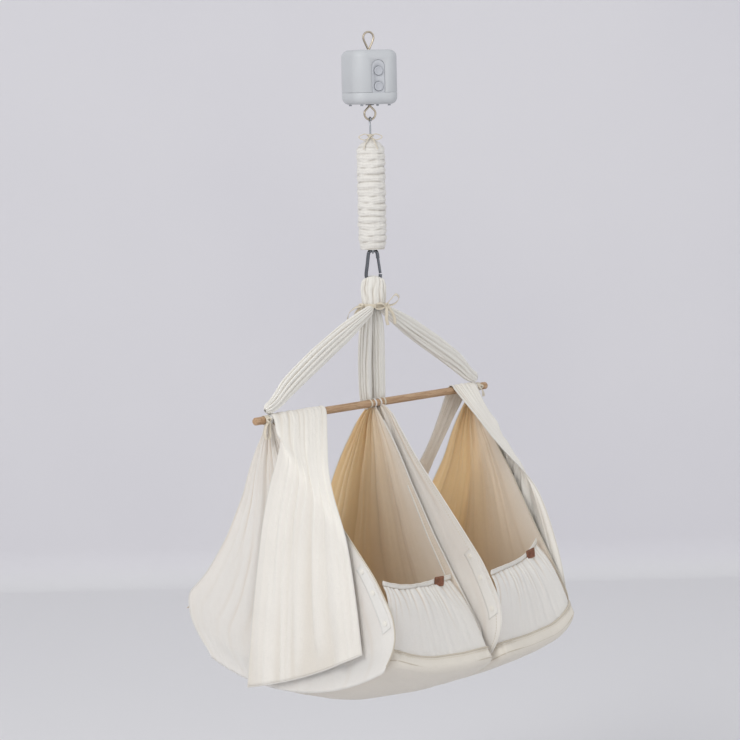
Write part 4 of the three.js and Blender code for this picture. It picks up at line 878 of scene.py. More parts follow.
def make_eye(name, node, body, width, height, stem, place, upside_down):
    radius = (width - EYE_WIRE) / 2
    foot = EYE_WIRE / 2 + 0.3
    centre = height - EYE_WIRE / 2 - radius
    turn = math.pi + 0.35 - (math.pi + 0.7) * np.arange(9) / 8
    arc = xyz(radius * np.cos(turn), 0, centre + radius * np.sin(turn))
    path = spline([(-1.75, 0, foot), *arc, (1.75, 0, foot)], 12)
    neck = [(0.01, foot + 0.9), (2.4, foot + 0.7), (3.5, foot - 1.0)]
    profile = rounded([*neck, (3.5, -stem), (0.01, -stem)], 0.8)
    ring = bend_wire(f"{name}_ring", path, EYE_WIRE, paint["nickel"], 18)
    eye = join_shells(ring, lathe("stem", profile, (0, 0, 0), (0, 0, 1), 32))
    eye.name = name
    flip = Matrix.Rotation(math.pi if upside_down else 0, 4, "X")
    eye.data.transform(Matrix.Rotation(MOTOR_YAW, 4, "Z") @ Matrix.Translation((0, 0, place * MM)) @ flip)
    finish_piece(eye, body, "nickel", node)


def make_hook(name, node, body, inner, straight, matrix):
    radius = inner + HOOK_WIRE / 2
    turn = np.radians(-40 + 250 * np.arange(9) / 8)
    arc = xyz(0, -radius * np.cos(turn), radius * np.sin(turn))
    shank = [(0, 0, -share * radius) for share in (2.6, 3.4, 4.4)]
    path = spline([*arc, *shank, (0, 0, -straight)], 10)
    rim = 5 - straight
    profile = rounded([(0.01, -straight), (10, -straight), (10, rim), (2.2, rim), (0.01, rim + 0.2)], 1.2)
    hook = tipped_wire(f"{name}_bend", path, HOOK_WIRE, paint["steel"])
    hook = join_shells(hook, lathe("head", profile, (0, 0, 0), (0, 0, 1), 48))
    hook.name = name
    hook.data.transform(matrix)
    finish_piece(hook, body, "steel", node)


def make_hardware():
    chassis_top = HOUSING_TOP - HOUSING_WALL - 0.3
    chassis_bottom = HOUSING_BOTTOM + HOUSING_WALL + 0.3
    carriage = (chassis_top + chassis_bottom) / 2 + 12 * math.sin(rad(45))
    eye_top = HOUSING_BOTTOM - 2.1
    stem = carriage - 13.3 - eye_top
    low_height = 36 + eye_top - HOUSING_BOTTOM
    make_eye("ceiling_loop", "top_eye", "motor_unit", 29, 37.5 + EYE_WIRE, 13.1, HOUSING_TOP, False)
    make_eye("hanging_loop", "lower_eye", "lift_body", 31, low_height, stem, eye_top, True)
    pitch = (SPRING_TOP - SPRING_BOTTOM) / SPRING_COILS
    top_reach = -SPRING_TOP + LOWER_EYE + pitch + 5
    at_eye = Matrix.Rotation(MOTOR_YAW, 4, "Z") @ Matrix.Translation((0, 0, LOWER_EYE * MM))
    make_hook("upper_hook", "top_hook", "top_hook_body", EYE_WIRE / 2 + 0.3, top_reach, at_eye)
    snap_wire = SNAP_TOP - SNAP_WIRE / 2
    low_reach = -snap_wire + SPRING_BOTTOM + pitch + 5
    at_snap = Matrix.Rotation(LOWER_YAW, 4, "Z") @ Matrix.Translation((0, 0, snap_wire * MM))
    at_snap @= Matrix.Rotation(math.pi, 4, "X")
    make_hook("lower_hook", "bottom_hook", "bottom_hook_body", SNAP_WIRE / 2 + 0.6, low_reach, at_snap)


def stretch_with_spring(obj, slot, node):
    """Piece on no body: gives it its material, hides the CAD node it stands for and bakes its place into its
    mesh.
    """
    finish_piece(obj, None, slot, node)
    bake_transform(obj)


def make_spring():
    steps, narrow, wide = 36, 4.6, 20.0
    index = np.arange(SPRING_COILS * steps + 1)
    from_end = np.minimum(index, index[-1] - index) / steps
    radius = mix(narrow, wide, smooth(from_end / 1.5))
    angle = TURN * index / steps
    height = mix(SPRING_TOP - 2, SPRING_BOTTOM + 2, index / index[-1])
    path = xyz(radius * np.cos(angle), radius * np.sin(angle), height)
    obj = tipped_wire("coil_spring", path, SPRING_WIRE, paint["spring_steel"], 12)
    stretch_with_spring(obj, "spring_steel", "spring")


def sleeve_radius(u, below):
    """Outer shape of the sleeve without its finer ruches, by share round it and distance below its rim."""
    length = SLEEVE_TOP - SLEEVE_BOTTOM
    shoulder = smooth((below - SLEEVE_CORD_DROP) / 30)
    mouth = smooth((length - below) / 30)
    body = np.minimum(mix(SLEEVE_NECK, SLEEVE_WIDE, shoulder), mix(SLEEVE_MOUTH, SLEEVE_WIDE, mouth)) / 2
    swirl = 0.22 * np.sin(TURN * 2 * u) + 0.15 * np.sin(TURN * 3 * u)
    body = body + 0.7 * np.sin(TURN * (7 * below / length + swirl)) * shoulder * mouth
    rim = mix(SLEEVE_RIM, SLEEVE_NECK, np.clip(below / SLEEVE_CORD_DROP, 0, 1)) / 2
    return np.where(below <= SLEEVE_CORD_DROP, rim, body)


def make_sleeve():
    length = SLEEVE_TOP - SLEEVE_BOTTOM
    lower = np.linspace(SLEEVE_CORD_DROP, length, 190)
    u, below = np.meshgrid(np.arange(160) / 160, [*np.linspace(0, SLEEVE_CORD_DROP, 4), *lower[1:]])
    shoulder = smooth((below - SLEEVE_CORD_DROP) / 34)
    mouth = smooth((length - below) / 14)
    drift = 0.5 * np.sin(TURN * (u + below / 190)) + 0.3 * np.sin(TURN * (u * 3 - below / 70))
    drift = drift + 0.9 * np.sin(below / 31)
    crest = np.abs(np.sin(math.pi * SLEEVE_RUCHES * below / length + drift * 0.6))
    broken = 0.5 + 0.5 * np.sin(TURN * (3 * u + below / 41) + 2 * np.sin(TURN * 2 * u + below / 13))
    ruche = 1.3 * (2 * crest - 1) * (0.25 + 0.75 * broken)
    shake = 0.45 * np.sin(TURN * (3 * u + below / 75)) + 0.4 * np.sin(TURN * 5 * u + below / 9)
    fine = 2 * np.abs(np.sin(math.pi * SLEEVE_FINE_RUCHES * below / length + shake)) - 1
    gather = np.cos(TURN * SLEEVE_GATHERS * u + 1.3 * np.sin(TURN * 2 * u))
    near_cord = np.exp(-((below - SLEEVE_CORD_DROP) / 16) ** 2)
    rumple = (1.3 * ruche + 0.55 * fine) * shoulder * mouth
    frill = gather * (0.3 + 1.1 * near_cord * shoulder + 0.35 * np.exp(-below / 2))
    radius = sleeve_radius(u, below) + rumple + frill
    grid = xyz(radius * np.cos(TURN * u), radius * np.sin(TURN * u), SLEEVE_TOP - below)
    # painted shade in the valleys between the ruches; the sleeve also gets a little painted warm shade on
    # both sides
    hollow_shade = (1.3 * (1 - crest) ** 3 * broken + 0.25 * np.clip(-fine, 0, 1) ** 3) * shoulder
    obj = cloth_sheet("ruched_sleeve", grid, 0.9, around=True, fold=hollow_shade, outer_warmth=0.1, warmth=0.1)
    stretch_with_spring(obj, "sleeve_cloth", "spring_sleeve")


def ring_path(radius, height, steps=64):
    angle = np.arange(steps) * TURN / steps
    return xyz(radius * np.cos(angle), radius * np.sin(angle), height)


def knot_path(centre, wide, deep, high, steps=33, pinch=0.0):
    """Closed path of a knot: an upright ring that crosses over itself."""
    turn = np.arange(steps) * TURN / steps
    wide = wide * (1 + pinch * np.cos(2 * turn))
    return np.asarray(centre) + xyz(wide * np.cos(turn), deep * np.sin(2 * turn), high * np.sin(turn))


def make_sleeve_cords():
    height = SLEEVE_TOP - SLEEVE_CORD_DROP
    knot_reach = 10.5

    def out(share, side, drop):
        sleeve = float(sleeve_radius(np.float64(0.5), np.float64(SLEEVE_CORD_DROP + max(drop, 0))))
        return np.array([-max(knot_reach, sleeve + 5.2), side * 26 * share, height - drop])

    parts = [bend_wire("cord", ring_path(6.6, height), 3.0, paint["tape"], 10, True)]
    for side in (-1, 1):
        loop = [(0, 0), (0.5, -3.9), (1, 2.6), (0.5, 9.1), (0.05, 2.6)]
        tail = [(0, 0), (0.35, 13), (0.6, 29)]
        for places, steps in ((loop, 12), (tail, 14)):
            path = spline([out(share, side, drop) for share, drop in places], steps)
            parts.append(tipped_wire("cord", path, 2.4, paint["tape"], 10))
    knot = knot_path((-knot_reach, 0, height), 2.6, 2.4, 2.8, 39, 0.3)
    parts.append(bend_wire("cord", knot, 3.0, paint["tape"], 10, True))
    cord = join_shells(*parts)
    cord.name = "sleeve_draw_cord"
    finish_piece(turned(cord, rad(42)), "spring_body", "tape", "sleeve_top_cord")
    hem = ring_path(23.9, SLEEVE_BOTTOM + 3)
    wire("sleeve_hem_cord", hem, 3.0, "bottom_hook_body", "tape", "sleeve_bottom_cord", closed=True)


def upright_arc(radius, height, start, end):
    angle = np.linspace(start, end, 9)
    return xyz(radius * np.cos(angle), 0, height + radius * np.sin(angle))


def make_snap_hook():
    narrow_r, wide_r = 10.0, 16.0
    narrow_z = SNAP_TOP - SNAP_WIRE / 2 - narrow_r
    wide_z = SNAP_TOP - SNAP_HEIGHT + SNAP_WIRE / 2 + wide_r
    lean = math.asin((wide_r - narrow_r) / (narrow_z - wide_z))
    narrow = upright_arc(narrow_r, narrow_z, lean, math.pi - lean)
    wide = upright_arc(wide_r, wide_z, math.pi - lean, TURN + lean)
    nose = mix(narrow[0], wide[8], 0.21)
    path = spline([nose, *narrow, mix(narrow[8], wide[0], 0.5), *wide], 10)
    obj = tipped_wire("spring_snap_hook", path, SNAP_WIRE, paint["chrome"], 24)
    finish_piece(turned(obj, LOWER_YAW), "snap_hook_body", "steel", "snap_hook")
    direction = unit(wide[8] - nose)
    start, end = nose + direction * 0.3, wide[8] - direction * 2
    gate = tipped_wire("hook_gate", np.linspace(start, end, 24), GATE_WIRE, paint["chrome"], 22)
    pin = rounded([(0.01, -3.7), (1.5, -3.7), (1.5, 3.7), (0.01, 3.7)], 0.5)
    gate = join_shells(gate, lathe("pin", pin, mix(start, end, 0.93), (0, 1, 0), 20))
    finish_piece(turned(gate, LOWER_YAW), "gate_body", "steel", "snap_hook_gate")


for maker in (make_housing, make_controls, make_hardware, make_spring, make_sleeve):
    maker()
make_sleeve_cords()
make_snap_hook()


# sling and spreader bar
def gathered_tube(name, stations, widest, seed, counts, depth_share, rows, across, ends=(0.6, 0.3)):
    """Open tube of pleated cloth along stations of (place, width, depth), widest along one direction."""
    last = len(stations) - 1
    places = spline([s[0] for s in stations], rows // last + 1)
    share = np.linspace(0, 1, len(places))
    width, depth = (eased([(i / last, s[k]) for i, s in enumerate(stations)], share) for k in (1, 2))
    forward = unit(np.gradient(places, axis=0))
    side = unit(np.asarray(widest, float) - forward * (forward @ np.asarray(widest, float))[:, None])
    other = np.cross(forward, side)
    u, v = np.meshgrid(np.arange(across) / across, share)
    wander = u + 0.012 * np.sin(6 * v + seed)
    fold = 0.65 * pleats(wander, 3 * v, seed, counts[0]) + 0.35 * pleats(wander, 5 * v, seed + 1, counts[1])
    close = mix(ends[0], 1, np.sqrt(smooth(v / 0.05))) * mix(ends[1], 1, np.sqrt(smooth((1 - v) / 0.06)))
    swell = (1 - 2 * depth_share + 2 * depth_share * fold) * close / 2
    x = width[:, None] * signed_power(np.cos(TURN * u), 0.9) * swell
    y = depth[:, None] * signed_power(np.sin(TURN * u), 0.9) * swell
    grid = places[:, None] + side[:, None] * x[..., None] + other[:, None] * y[..., None]
    # the fold attribute here is painted shade in the valleys between the pleats
    return cloth_sheet(name, grid, 1.1, around=True, fold=np.clip(1.2 * (1 - fold) ** 2, 0, 1))


def make_sling_head():
    """Hood over the snap hook, with its upper edge rolled in."""
    top, foot = SNAP_TOP - SNAP_HEIGHT + 17, APEX - 5
    hang = [(0, 0.74, 0.74), (0.1, 0.88, 0.86), (0.32, 1.02, 1.0)]
    hang += [(0.62, 1, 1), (0.86, 0.93, 0.93), (1, 0.92, 0.93)]
    rolled = [(0.2, 36, 7), (0.12, 38, 9), (0.05, 39, 11), (0.01, 40, 15), (-0.015, 41, 21)]
    rows = [(share, width / HEAD_WIDE, depth / HEAD_DEEP) for share, width, depth in rolled]
    for share in np.linspace(0.0, 1.0, 60):
        rows.append((share, *(float(eased([(row[0], row[k]) for row in hang], share)) for k in (1, 2))))
    share, width, depth = (np.array(column)[:, None] for column in zip(*rows))
    u = np.arange(150)[None, :] / 150
    stiff = np.where(np.arange(len(rows))[:, None] < len(rolled), 0.5, 1)
    fold = 2 * (0.6 * pleats(u, 3 * share, 11, 11) + 0.4 * pleats(u, 2 * share, 14, 19)) - 1
    swell = 0.92 + 0.08 * fold * stiff + 0.02 * np.exp(-((share - 0.12) / 0.1) ** 2)
    cos, sin = np.cos(TURN * u), np.sin(TURN * u)
    saddle = 5.5 * cos**2 * np.exp(-np.clip(share, 0, 1) * 9)
    x, y = HEAD_WIDE / 2 * width * swell * cos, HEAD_DEEP / 2 * depth * swell * sin
    grid = xyz(x, y, mix(top, foot, share) - saddle)
    # painted shade in the valleys between the pleats
    hollow_shade = np.clip(1.5 * (0.5 - 0.5 * fold) ** 2, 0, 1)
    head = cloth_sheet("sling_hood", turn_z(grid, LOWER_YAW), 1.1, around=True, fold=hollow_shade)
    finish_piece(head, "sling", "sling_cloth", "sling_head")


ARM_SHARES = [(0, 0, 0, 0), (0.1, 0.09, 0.35, 0.25), (0.27, 0.25, 0.8, 0.8), (0.53, 0.5, 1, 1)]
ARM_SHARES += [(0.78, 0.76, 0.8, 0.9), (0.92, 0.94, 0.25, 0.4), (1, 1, 0, 0)]


def make_sling_arms():
    for name, side in SIDES:
        start = np.array([side * 14.6, -7.6, APEX - 5.3])
        run = np.array([side * ARM_TIE_X, 0, BAR + BAR_RADIUS + 11.5]) - start
        stations = []
        for across, drop, wide, deep in ARM_SHARES:
            width, depth = (19, 15) if across < 0.53 else (24, 18)
            place = start + run * [across, across, drop]
            stations.append((place, mix(width, 50, wide), mix(depth, 26, deep)))
        arm = gathered_tube(f"{name}_sling_band", stations, (0, 0, 1), 21 + side, (9, 15), 0.18, 96, 180)
        finish_piece(arm, "sling", "sling_cloth", f"{name}_sling_arm")
        make_middle_band(name, side)


def make_middle_band(name, side):
    """Band from the apex to the back of the bar; the left one is slimmer and ends higher."""
    behind = ON_BAR + 13
    rows = [(0, 11, 8.4, 24, 20), (0.2, 18, 11.4, 37, 26)]
    rows += [(0.6, 20, behind * 0.85, 41, 27), (0.94, 18, behind, 38, 26)]
    if side < 0:
        sideways, slim = 9.2, 0.82
        rows += [(1.0, 16, behind - 1, 32, 22), (1.05, 13, behind - 3, 24, 14)]
    else:
        sideways, slim = 15, 1
        rows += [(1.1, 15, behind - 3, 31, 22), (1.18, 12, behind - 8, 22, 14)]
    stations = []
    for share, x, y, width, depth in rows:
        place = (side * x + sideways * min(share, 1.0), y, mix(APEX - 5.3, BAR - BAR_RADIUS / 2, share))
        stations.append((np.array(place), width * slim, depth))
    ends = (0.6, 0.35)
    band = gathered_tube(f"{name}_middle_band", stations, (1, 0, 0), 31 + side, (7, 12), 0.16, 80, 132, ends)
    finish_piece(band, "sling", "sling_cloth", f"{name}_centre_sling")


def tape_ring(x, radius, width, turns, wobble, seed):
    """Tape wound round the bar: a helix of a few turns as a grid of places."""
    start = np.random.default_rng(seed).uniform(0, 6)
    angle = np.linspace(0, TURN * turns, 56 * turns)[:, None]
    reach = radius + 0.25 * angle / TURN + 0.2 * np.sin(3 * angle + start)
    across = x + np.linspace(-0.5, 0.5, 7) * width + np.linspace(-wobble, wobble, len(angle))[:, None]
    return xyz(across, -reach * np.sin(angle), BAR - reach * np.cos(angle))


def make_ties():
    for name, side in SIDES:
        winding = tape_ring(side * ARM_TIE_X, ON_BAR + 0.6, ARM_TAPE, 2, 0.7, 5 + side)
        tie = finish_piece(cloth_sheet(f"{name}_bar_tie", winding, 0.7), "sling", "tape", f"{name}_arm_tie")
        winding = tape_ring(side * (WALL_TOP_X + 14), ON_BAR + 0.6, MIDDLE_TAPE, 2, 0.3, 8 + side)
        middle = cloth_sheet(f"{name}_middle_tie", winding, 0.7)
        finish_piece(middle, "sling", "tape", f"{name}_centre_tie")
    make_bar_end_knots()


def make_bar_end_knots():
    """Ends of the bar's tapes: a knot and a hanging loop at the left, a knot and a tassel at the right."""
    left, right = np.array([-ARM_TIE_X, 0, BAR]), np.array([ARM_TIE_X, 0, BAR])
    knot = knot_path(left + [-2, -13.2, 1], 5.4, -2.0, 4.2)
    wire("left_tie_knot", knot, 4.2, "sling", "tape", closed=True, sides=12)
    loop = [(-2, -13, -2), (-14, -16, -10), (-22, -19, -26), (-20, -21, -38)]
    loop += [(-9, -20, -34), (-4, -16, -18), (-1, -13.5, -3)]
    band = ribbon("left_tie_loop", spline(left + loop, 14), 6.5, (0.35, -1, 0.1))
    finish_piece(band, "sling", "tape")
    knot = knot_path(right + [1, -13.0, 0], 5.0, -2.0, 4.0)
    wire("right_tie_knot", knot, 4.0, "sling", "tape", closed=True, sides=12)
    strands = []
    for i in range(7):
        spread = (i - 3) * 1.5
        end = (6 + spread, -16 + 0.6 * (i % 3), -21 - 1.4 * (i % 2))
        strands.append(spline(right + [(1, -13, -3), (4 + spread * 0.5, -15.5, -10), end], 10))
    wire("right_tie_tassel", strands, 1.5, "sling", "tape", sides=8)


def make_apex_tie():
    wide, deep = 27.55, 19.55
    angle = np.linspace(0, TURN * 2, 160)[:, None]
    lane = np.linspace(-0.5, 0.5, 8)
    more = 0.35 * angle / TURN + 0.3 * (0.5 * np.cos(TURN * lane) + 0.25 * np.sin(7 * angle))
    height = APEX + APEX_TAPE * lane + 0.5 * np.sin(angle * 0.5 + 0.4)
    grid = xyz((wide + more) * np.cos(angle), (deep + more) * np.sin(angle), height)
    band = cloth_sheet("apex_tape", turn_z(grid, LOWER_YAW), 0.7)
    finish_piece(band, "sling", "tape", "apex_tie")
    make_apex_bows()


BOW_SEAT = 25.5
BOW_LOOPS = {
    "right": [
        [(0, 16, 0), (12, 19, 14), (24, 19, 25), (31, 16, 17), (21, 14, 4), (0, 15, -1)],
        [(0, 16, 0), (-9, 24, 6), (-19, 25, 5), (-21, 24, -4), (-10, 23, -6), (0, 16, -1)],
    ],
    "left": [
        [(0, 16, 0), (14, 22, -2), (30, 24, -14), (33, 24, -30), (17, 20, -22), (0, 15, -1)],
        [(0, 16, 0), (4, 23, -12), (9, 27, -32), (18, 27, -36), (14, 24, -16), (0, 16, -1)],
    ],
}
BOW_TAILS = [
    [(0, 16, 0), (11, 20, -9), (19, 20, -25), (21, 17, -41)],
    [(0, 16, 0), (3, 22, -12), (2, 24, -28), (5, 22, -43)],
]


def make_apex_bows():
    """Bow with loops and tails at each side of the apex; places are (outward, towards the camera, up)."""
    front = np.array([facing_back.x, facing_back.y, 0]) / math.hypot(facing_back.x, facing_back.y)
    axes = np.array([facing_right, front, [0, 0, 1]])
    for name, side in SIDES[::-1]:
        knot = knot_path((side * (BOW_SEAT + 3.4), 15, 0), 4.4, 2.0, 4.0) @ axes + [0, 0, APEX]
        wire(f"apex_{name}_knot", knot, 5.0, "sling", "tape", closed=True, sides=12)
        tags = ("loop", "inner_loop", "tail", "inner_tail")
        for tag, places, width in zip(tags, BOW_LOOPS[name] + BOW_TAILS, (8.0, 7.0, 7.5, 7.5)):
            path = spline(((np.array(places) + [BOW_SEAT, 0, 0]) * [side, 1, 1]) @ axes + [0, 0, APEX], 16)
            facing = np.array([0.25, -1, 0.5] if "loop" in tag else [side, 0.5, 0])
            piece = ribbon(f"apex_{name}_{tag}", path, width, facing @ axes)
            finish_piece(piece, "sling", "tape")
            length = float(np.linalg.norm(np.diff(path, axis=0), axis=1).sum()) * MM
            flat, area = (0.01, round(length, 3)), round(width * MM * length, 6)


def make_bar():
    half, tip, r = BAR_LENGTH / 2, 14, BAR_RADIUS
    end, groove = half - tip, r - 1.5
    side = [(0.01, half), (6.0, half), (r, half - 3.4), (r, end), (groove, end), (groove, end - 4)]
    side = rounded([*side, (r, end - 4), (r, end - 30)], 1.0, 5)
    middle = [(r, h) for h in np.linspace(-end + 40, end - 40, 12)]
    profile = [(a, -h) for a, h in side] + middle + side[::-1]
    bar = lathe("turned_bar", profile, (0, 0, BAR), (1, 0, 0), 48)
    finish_piece(bar, "sling", "beech", "spreader_bar")


# places on the cradles
def about_bar(x, radius, angle):
    return xyz(x, -radius * np.sin(angle), BAR - radius * np.cos(angle))


def lift(share, back=0.0):
    """Rise of the underside toward the outer side, and a little more at its head end."""
    return (OUTER_LIFT + 55 * np.clip(back, 0, 1) ** 3) * np.clip(share, 0, None) ** 4


FRONT_CORNER, BACK_CORNER = 1 / 7, 0.5


def plan_point(side, turn, reach, height, margin):
    """Place on the tray's rounded plan, as in the part's source."""
    half, middle = rad(FRONT_ANGLE + BACK_ANGLE) / 2, rad(FRONT_ANGLE - BACK_ANGLE) / 2
    cos, sin = np.cos(turn), np.sin(turn)
    corner = np.where(sin < 0, BACK_CORNER, FRONT_CORNER)
    across = CRADLE_WIDTH / 2 + signed_power(cos, corner) * reach * (CRADLE_WIDTH / 2 - margin)
    length = signed_power(sin, corner) * reach
    angle = middle + length * (half - margin / HULL_RADIUS)
    radius = HULL_RADIUS - lift(across / CRADLE_WIDTH, -length) - height
    return about_bar(side * (CRADLE_INSET + across), radius, angle)


def inside_of(side, drop=450):
    """Place inside a cradle, which shows a sheet which side is its inside, the side that takes the painted
    warm shade.
    """
    return (side * 160.0, 0, BAR - drop)


def plan_turns(count):
    """Turns round the plan, spread so that the sides and the corners get even steps."""
    t = np.arange(count * 8) / (count * 8) * TURN
    corner = np.where(np.sin(t) < 0, BACK_CORNER, 1 / 4)
    outline = np.stack([signed_power(np.cos(t), corner), signed_power(np.sin(t), corner)])
    run = np.append(0, np.cumsum(np.hypot(*np.diff(outline, append=outline[:, :1]))))
    return np.interp(np.arange(count) / count * run[-1], run, np.append(t, TURN))


FLAP_FOOT = [(0.3, 1.02), (0.7, 1), (0.86, 0.95), (0.93, 0.88), (0.97, 0.8), (1, 0.68)]
SEAM_FOOT = [(0.5, 0.97), (0.75, 0.99), (0.9, 1.0), (0.95, 0.95), (1, 0.78)]
OUTER_FLAP_EDGE = [(0, 1.1), (0.1, 1.06), *FLAP_FOOT]
INNER_FLAP_EDGE = [(0, 1.9), (0.05, 1.5), (0.1, 1.2), (0.2, 1.05), *FLAP_FOOT]
OUTER_SEAM_EDGE = [(0, 0.9), (0.1, 0.7), (0.2, 0.9), (0.35, 0.97), *SEAM_FOOT]
INNER_SEAM_EDGE = [(0, 1.3), (0.1, 1.15), (0.3, 1.0), *SEAM_FOOT]
BACK_EDGE = [(0, 1.1), (0.1, 1), (0.3, 0.82), (0.5, 0.84), (0.7, 0.92), (0.84, 1.01), (0.92, 0.9), (1, 0.6)]
INNER_BACK_EDGE = [(0, 1.9), (0.07, 1.5), (0.15, 1.27), (0.25, 1.15), (0.4, 1.0)]
INNER_BACK_EDGE += [(0.6, 0.95), (0.85, 0.99), (0.93, 0.9), (1, 0.7)]
PLEAT_DEPTH = [(0, 0.55), (0.08, 0.9), (0.3, 1), (0.6, 0.6), (0.85, 0.25), (1, 0)]


def wall_x(outer, radius):
    share = radius / OUTER_WALL
    if not outer:
        return mix(WALL_TOP_X, CRADLE_INSET - 1.9, share**1.6)
    return mix(ARM_TIE_X - 14.3, OUTER_X + 1.3, np.minimum(share, 1) ** 1.6)


def wall_place(side, outer, flap, u, share, proud=0.0):
    """Place on a wall by its share from back to front and its share down, with its pleats."""
    seed = wall_seed(side, outer)
    radius = mix(ON_BAR + 0.8, OUTER_WALL if outer else INNER_WALL, share)
    if flap:
        front = FLAP_ANGLE * eased(OUTER_FLAP_EDGE if outer else INNER_FLAP_EDGE, share)
    else:
        front = SEAM_ANGLE * eased(OUTER_SEAM_EDGE if outer else INNER_SEAM_EDGE, share)
    back = WALL_BACK * eased(BACK_EDGE if outer else INNER_BACK_EDGE, share)
    window = smooth(np.minimum(np.clip((0.9 - u) / 0.2, 0, None), np.minimum(u / 0.1, 1)))
    pleat = 3.6 * np.interp(share, *zip(*PLEAT_DEPTH)) * window
    pleat = pleat * np.cos(TURN * 5 * u + 0.9 * np.sin(TURN * 2 * u + 1))
    near_bar = np.exp(-share * 2.6) * np.clip(share * 14, 0.12, 1)
    depth = (0.8 + 6.0 * near_bar) * (0.35 + 0.65 * window)
    fine = (wall_gathers(u, share, seed) - 0.5) * depth + wall_folds(u, share, seed) * window
    across = side * (wall_x(outer, radius) + pleat + fine + proud)
    return about_bar(across, radius, rad(1) * mix(-back, front, u))


def wall_seed(side, outer):
    return (3 if outer else 5) * (side + 2)


def wall_folds(u, share, seed):
    """Long soft folds below the gathers, in millimetres."""
    return 8.0 * ridges(u, share, 44 + seed, 6, 0.05) * np.sqrt(np.clip(share, 0, 1)) * (1.15 - share)


def wall_gathers(u, share, seed):
    """Pleats that run down from the bar, finer ones between the broad ones."""
    return 0.6 * pleats(u, 2 * share, 40 + seed, 9) + 0.4 * pleats(u, 3 * share, 43 + seed, 16)


def make_wall(side_name, side, outer):
    """Cloth wall that hangs from a loop round the bar; one wall of each cradle ends in the studded flap."""
    name = f"{side_name}_{'outer' if outer else 'inner'}_wall"
    flap, seed = outer == (side < 0), wall_seed(side, outer)
    u, share = np.meshgrid(np.linspace(0, 1, 141), np.linspace(0, 1, 130) ** 1.35)
    # painted shade: darker in the valleys of the gathers near the bar, just under the bar and between the
    # long folds
    pleat = 1.6 * (1 - wall_gathers(u, share, seed)) ** 3 * np.exp(-share * 1.8)
    hollow_shade = 0.3 * np.exp(-0.6 * wall_folds(u, share, seed)) * (1 - share)
    fold = np.clip(0.15 * np.exp(-share * 6) + pleat + hollow_shade, 0, 1)
    # painted warm shade on the wall's inside, deepest at its back and fading to the front
    warm = np.clip(1.4 - 1.2 * u + 0.1 * share, 0, 1)
    grid = wall_place(side, outer, flap, u, share)
    wall = cloth_sheet(f"{name}_cloth", grid, 1.3, inside_of(side), False, warm, 0.04, fold)
    loop = tape_ring(side * float(wall_x(outer, 0.0)), ON_BAR + 0.7, 13.2 if outer else 4.6, 1, 0.0, seed)
    wall = join_shells(wall, cloth_sheet("loop", loop, 0.8))
    finish_piece(wall, f"{side_name}_cradle", "cradle_cloth", name)
    height = (OUTER_WALL if outer else INNER_WALL) * MM
    spread = 2 * height * math.tan(rad(37 if flap else 33))


for maker in (make_sling_head, make_sling_arms, make_apex_tie, make_bar, make_ties):
    maker()
for side_name, side_sign in SIDES:
    make_wall(side_name, side_sign, True)
    make_wall(side_name, side_sign, False)


# cradle bases and mattresses
def make_tray(name, side):
    """Cloth tray with soft corners and a piped rim."""
    corner, body = TRAY_CORNER, f"{name}_cradle"
    turn = plan_turns(260)
    rows = [(0.02, 0, 0), (0.3, 0, 0), (0.6, 0, 2), (0.85, 0, 7)]
    for a in np.linspace(0.1, math.pi / 2, 9):
        rows.append((1, corner * (1 - math.cos(a)), corner * (1 - math.sin(a))))
    rows += [(1, h, 0) for h in np.linspace(corner + 3, TRAY_HEIGHT, 6)]
    grid = []
    for reach, height, margin in rows:
        pucker = waves(turn / TURN, height / 20, 60 + side, (17, 29, 43)) * 1.3 * min(height / 10, 1)
        grid.append(plan_point(side, turn, reach, height, margin + 0.4 + pucker))
    below_rim = TRAY_HEIGHT - np.array([height for _, height, _ in rows])
    ruffled = 0.6 + 0.4 * waves(turn / TURN, 0, 64 + side, (23, 41))
    shade = 0.75 * np.exp(-(((below_rim[:, None] - 1) / 3.4) ** 2)) * ruffled[None, :]
    shade = np.clip(shade, 0, 1)
    tray = cloth_sheet(f"{name}_base", np.array(grid), 1.4, inside_of(side, 500), True, fold=shade)
    finish_piece(tray, body, "base_cloth", f"{name}_tray")
    rim = plan_point(side, turn, 1, TRAY_HEIGHT, -0.6)
    low = plan_point(side, turn, 1, corner * 0.62, corner * 0.12 - 0.9)
    # rim piping and low seam take the darker cotton as painted shadow along the seams
    for tag, line, size, sides in (("piping", rim, 4.0, 10), ("seam", low, 2.2, 8)):
        wire(f"{name}_base_{tag}", line, size, body, "base_cloth", (), True, sides, seam_shadow_cotton)
    sew(f"{name}_base_stitches", plan_point(side, turn, 1, TRAY_HEIGHT - 6, -1.0), body, "base_cloth")


def vertices(obj):
    """An object's vertices in metres."""
    places = np.empty(len(obj.data.vertices) * 3)
    obj.data.vertices.foreach_get("co", places)
    return places.reshape(-1, 3)


def swell_pad(obj, cap):
    """Remeshes a pad, blows its top up a little by cloth simulation, and keeps it as a plain mesh."""
    start = obj.modifiers.new("even", "REMESH")
    start.mode, start.voxel_size, start.use_smooth_shade = "VOXEL", 0.0055, True
    flatten(obj)
    rest = vertices(obj)
    cloth = obj.modifiers.new("cloth", "CLOTH")
    cloth.settings.use_pressure, cloth.settings.uniform_pressure_force = True, 4.0
    cloth.settings.effector_weights.gravity = 0
    cloth.settings.quality = 4
    cloth.collision_settings.use_collision = False
    cloth.point_cache.frame_start, cloth.point_cache.frame_end = 1, 20
    scene = bpy.context.scene
    for frame_number in range(1, 21):
        scene.frame_set(frame_number)
    flatten(obj)
    move = vertices(obj) - rest
    move *= np.minimum(1, cap / np.maximum(np.linalg.norm(move, axis=1, keepdims=True), 1e-9))
    move[:, :2] = 0
    move[:, 2] = np.clip(move[:, 2], 0, None)
    obj.data.vertices.foreach_set("co", (rest + move).ravel())
    scene.frame_set(1)
    finer = obj.modifiers.new("finer", "SUBSURF")
    finer.levels = finer.render_levels = 1
    return flatten(obj)


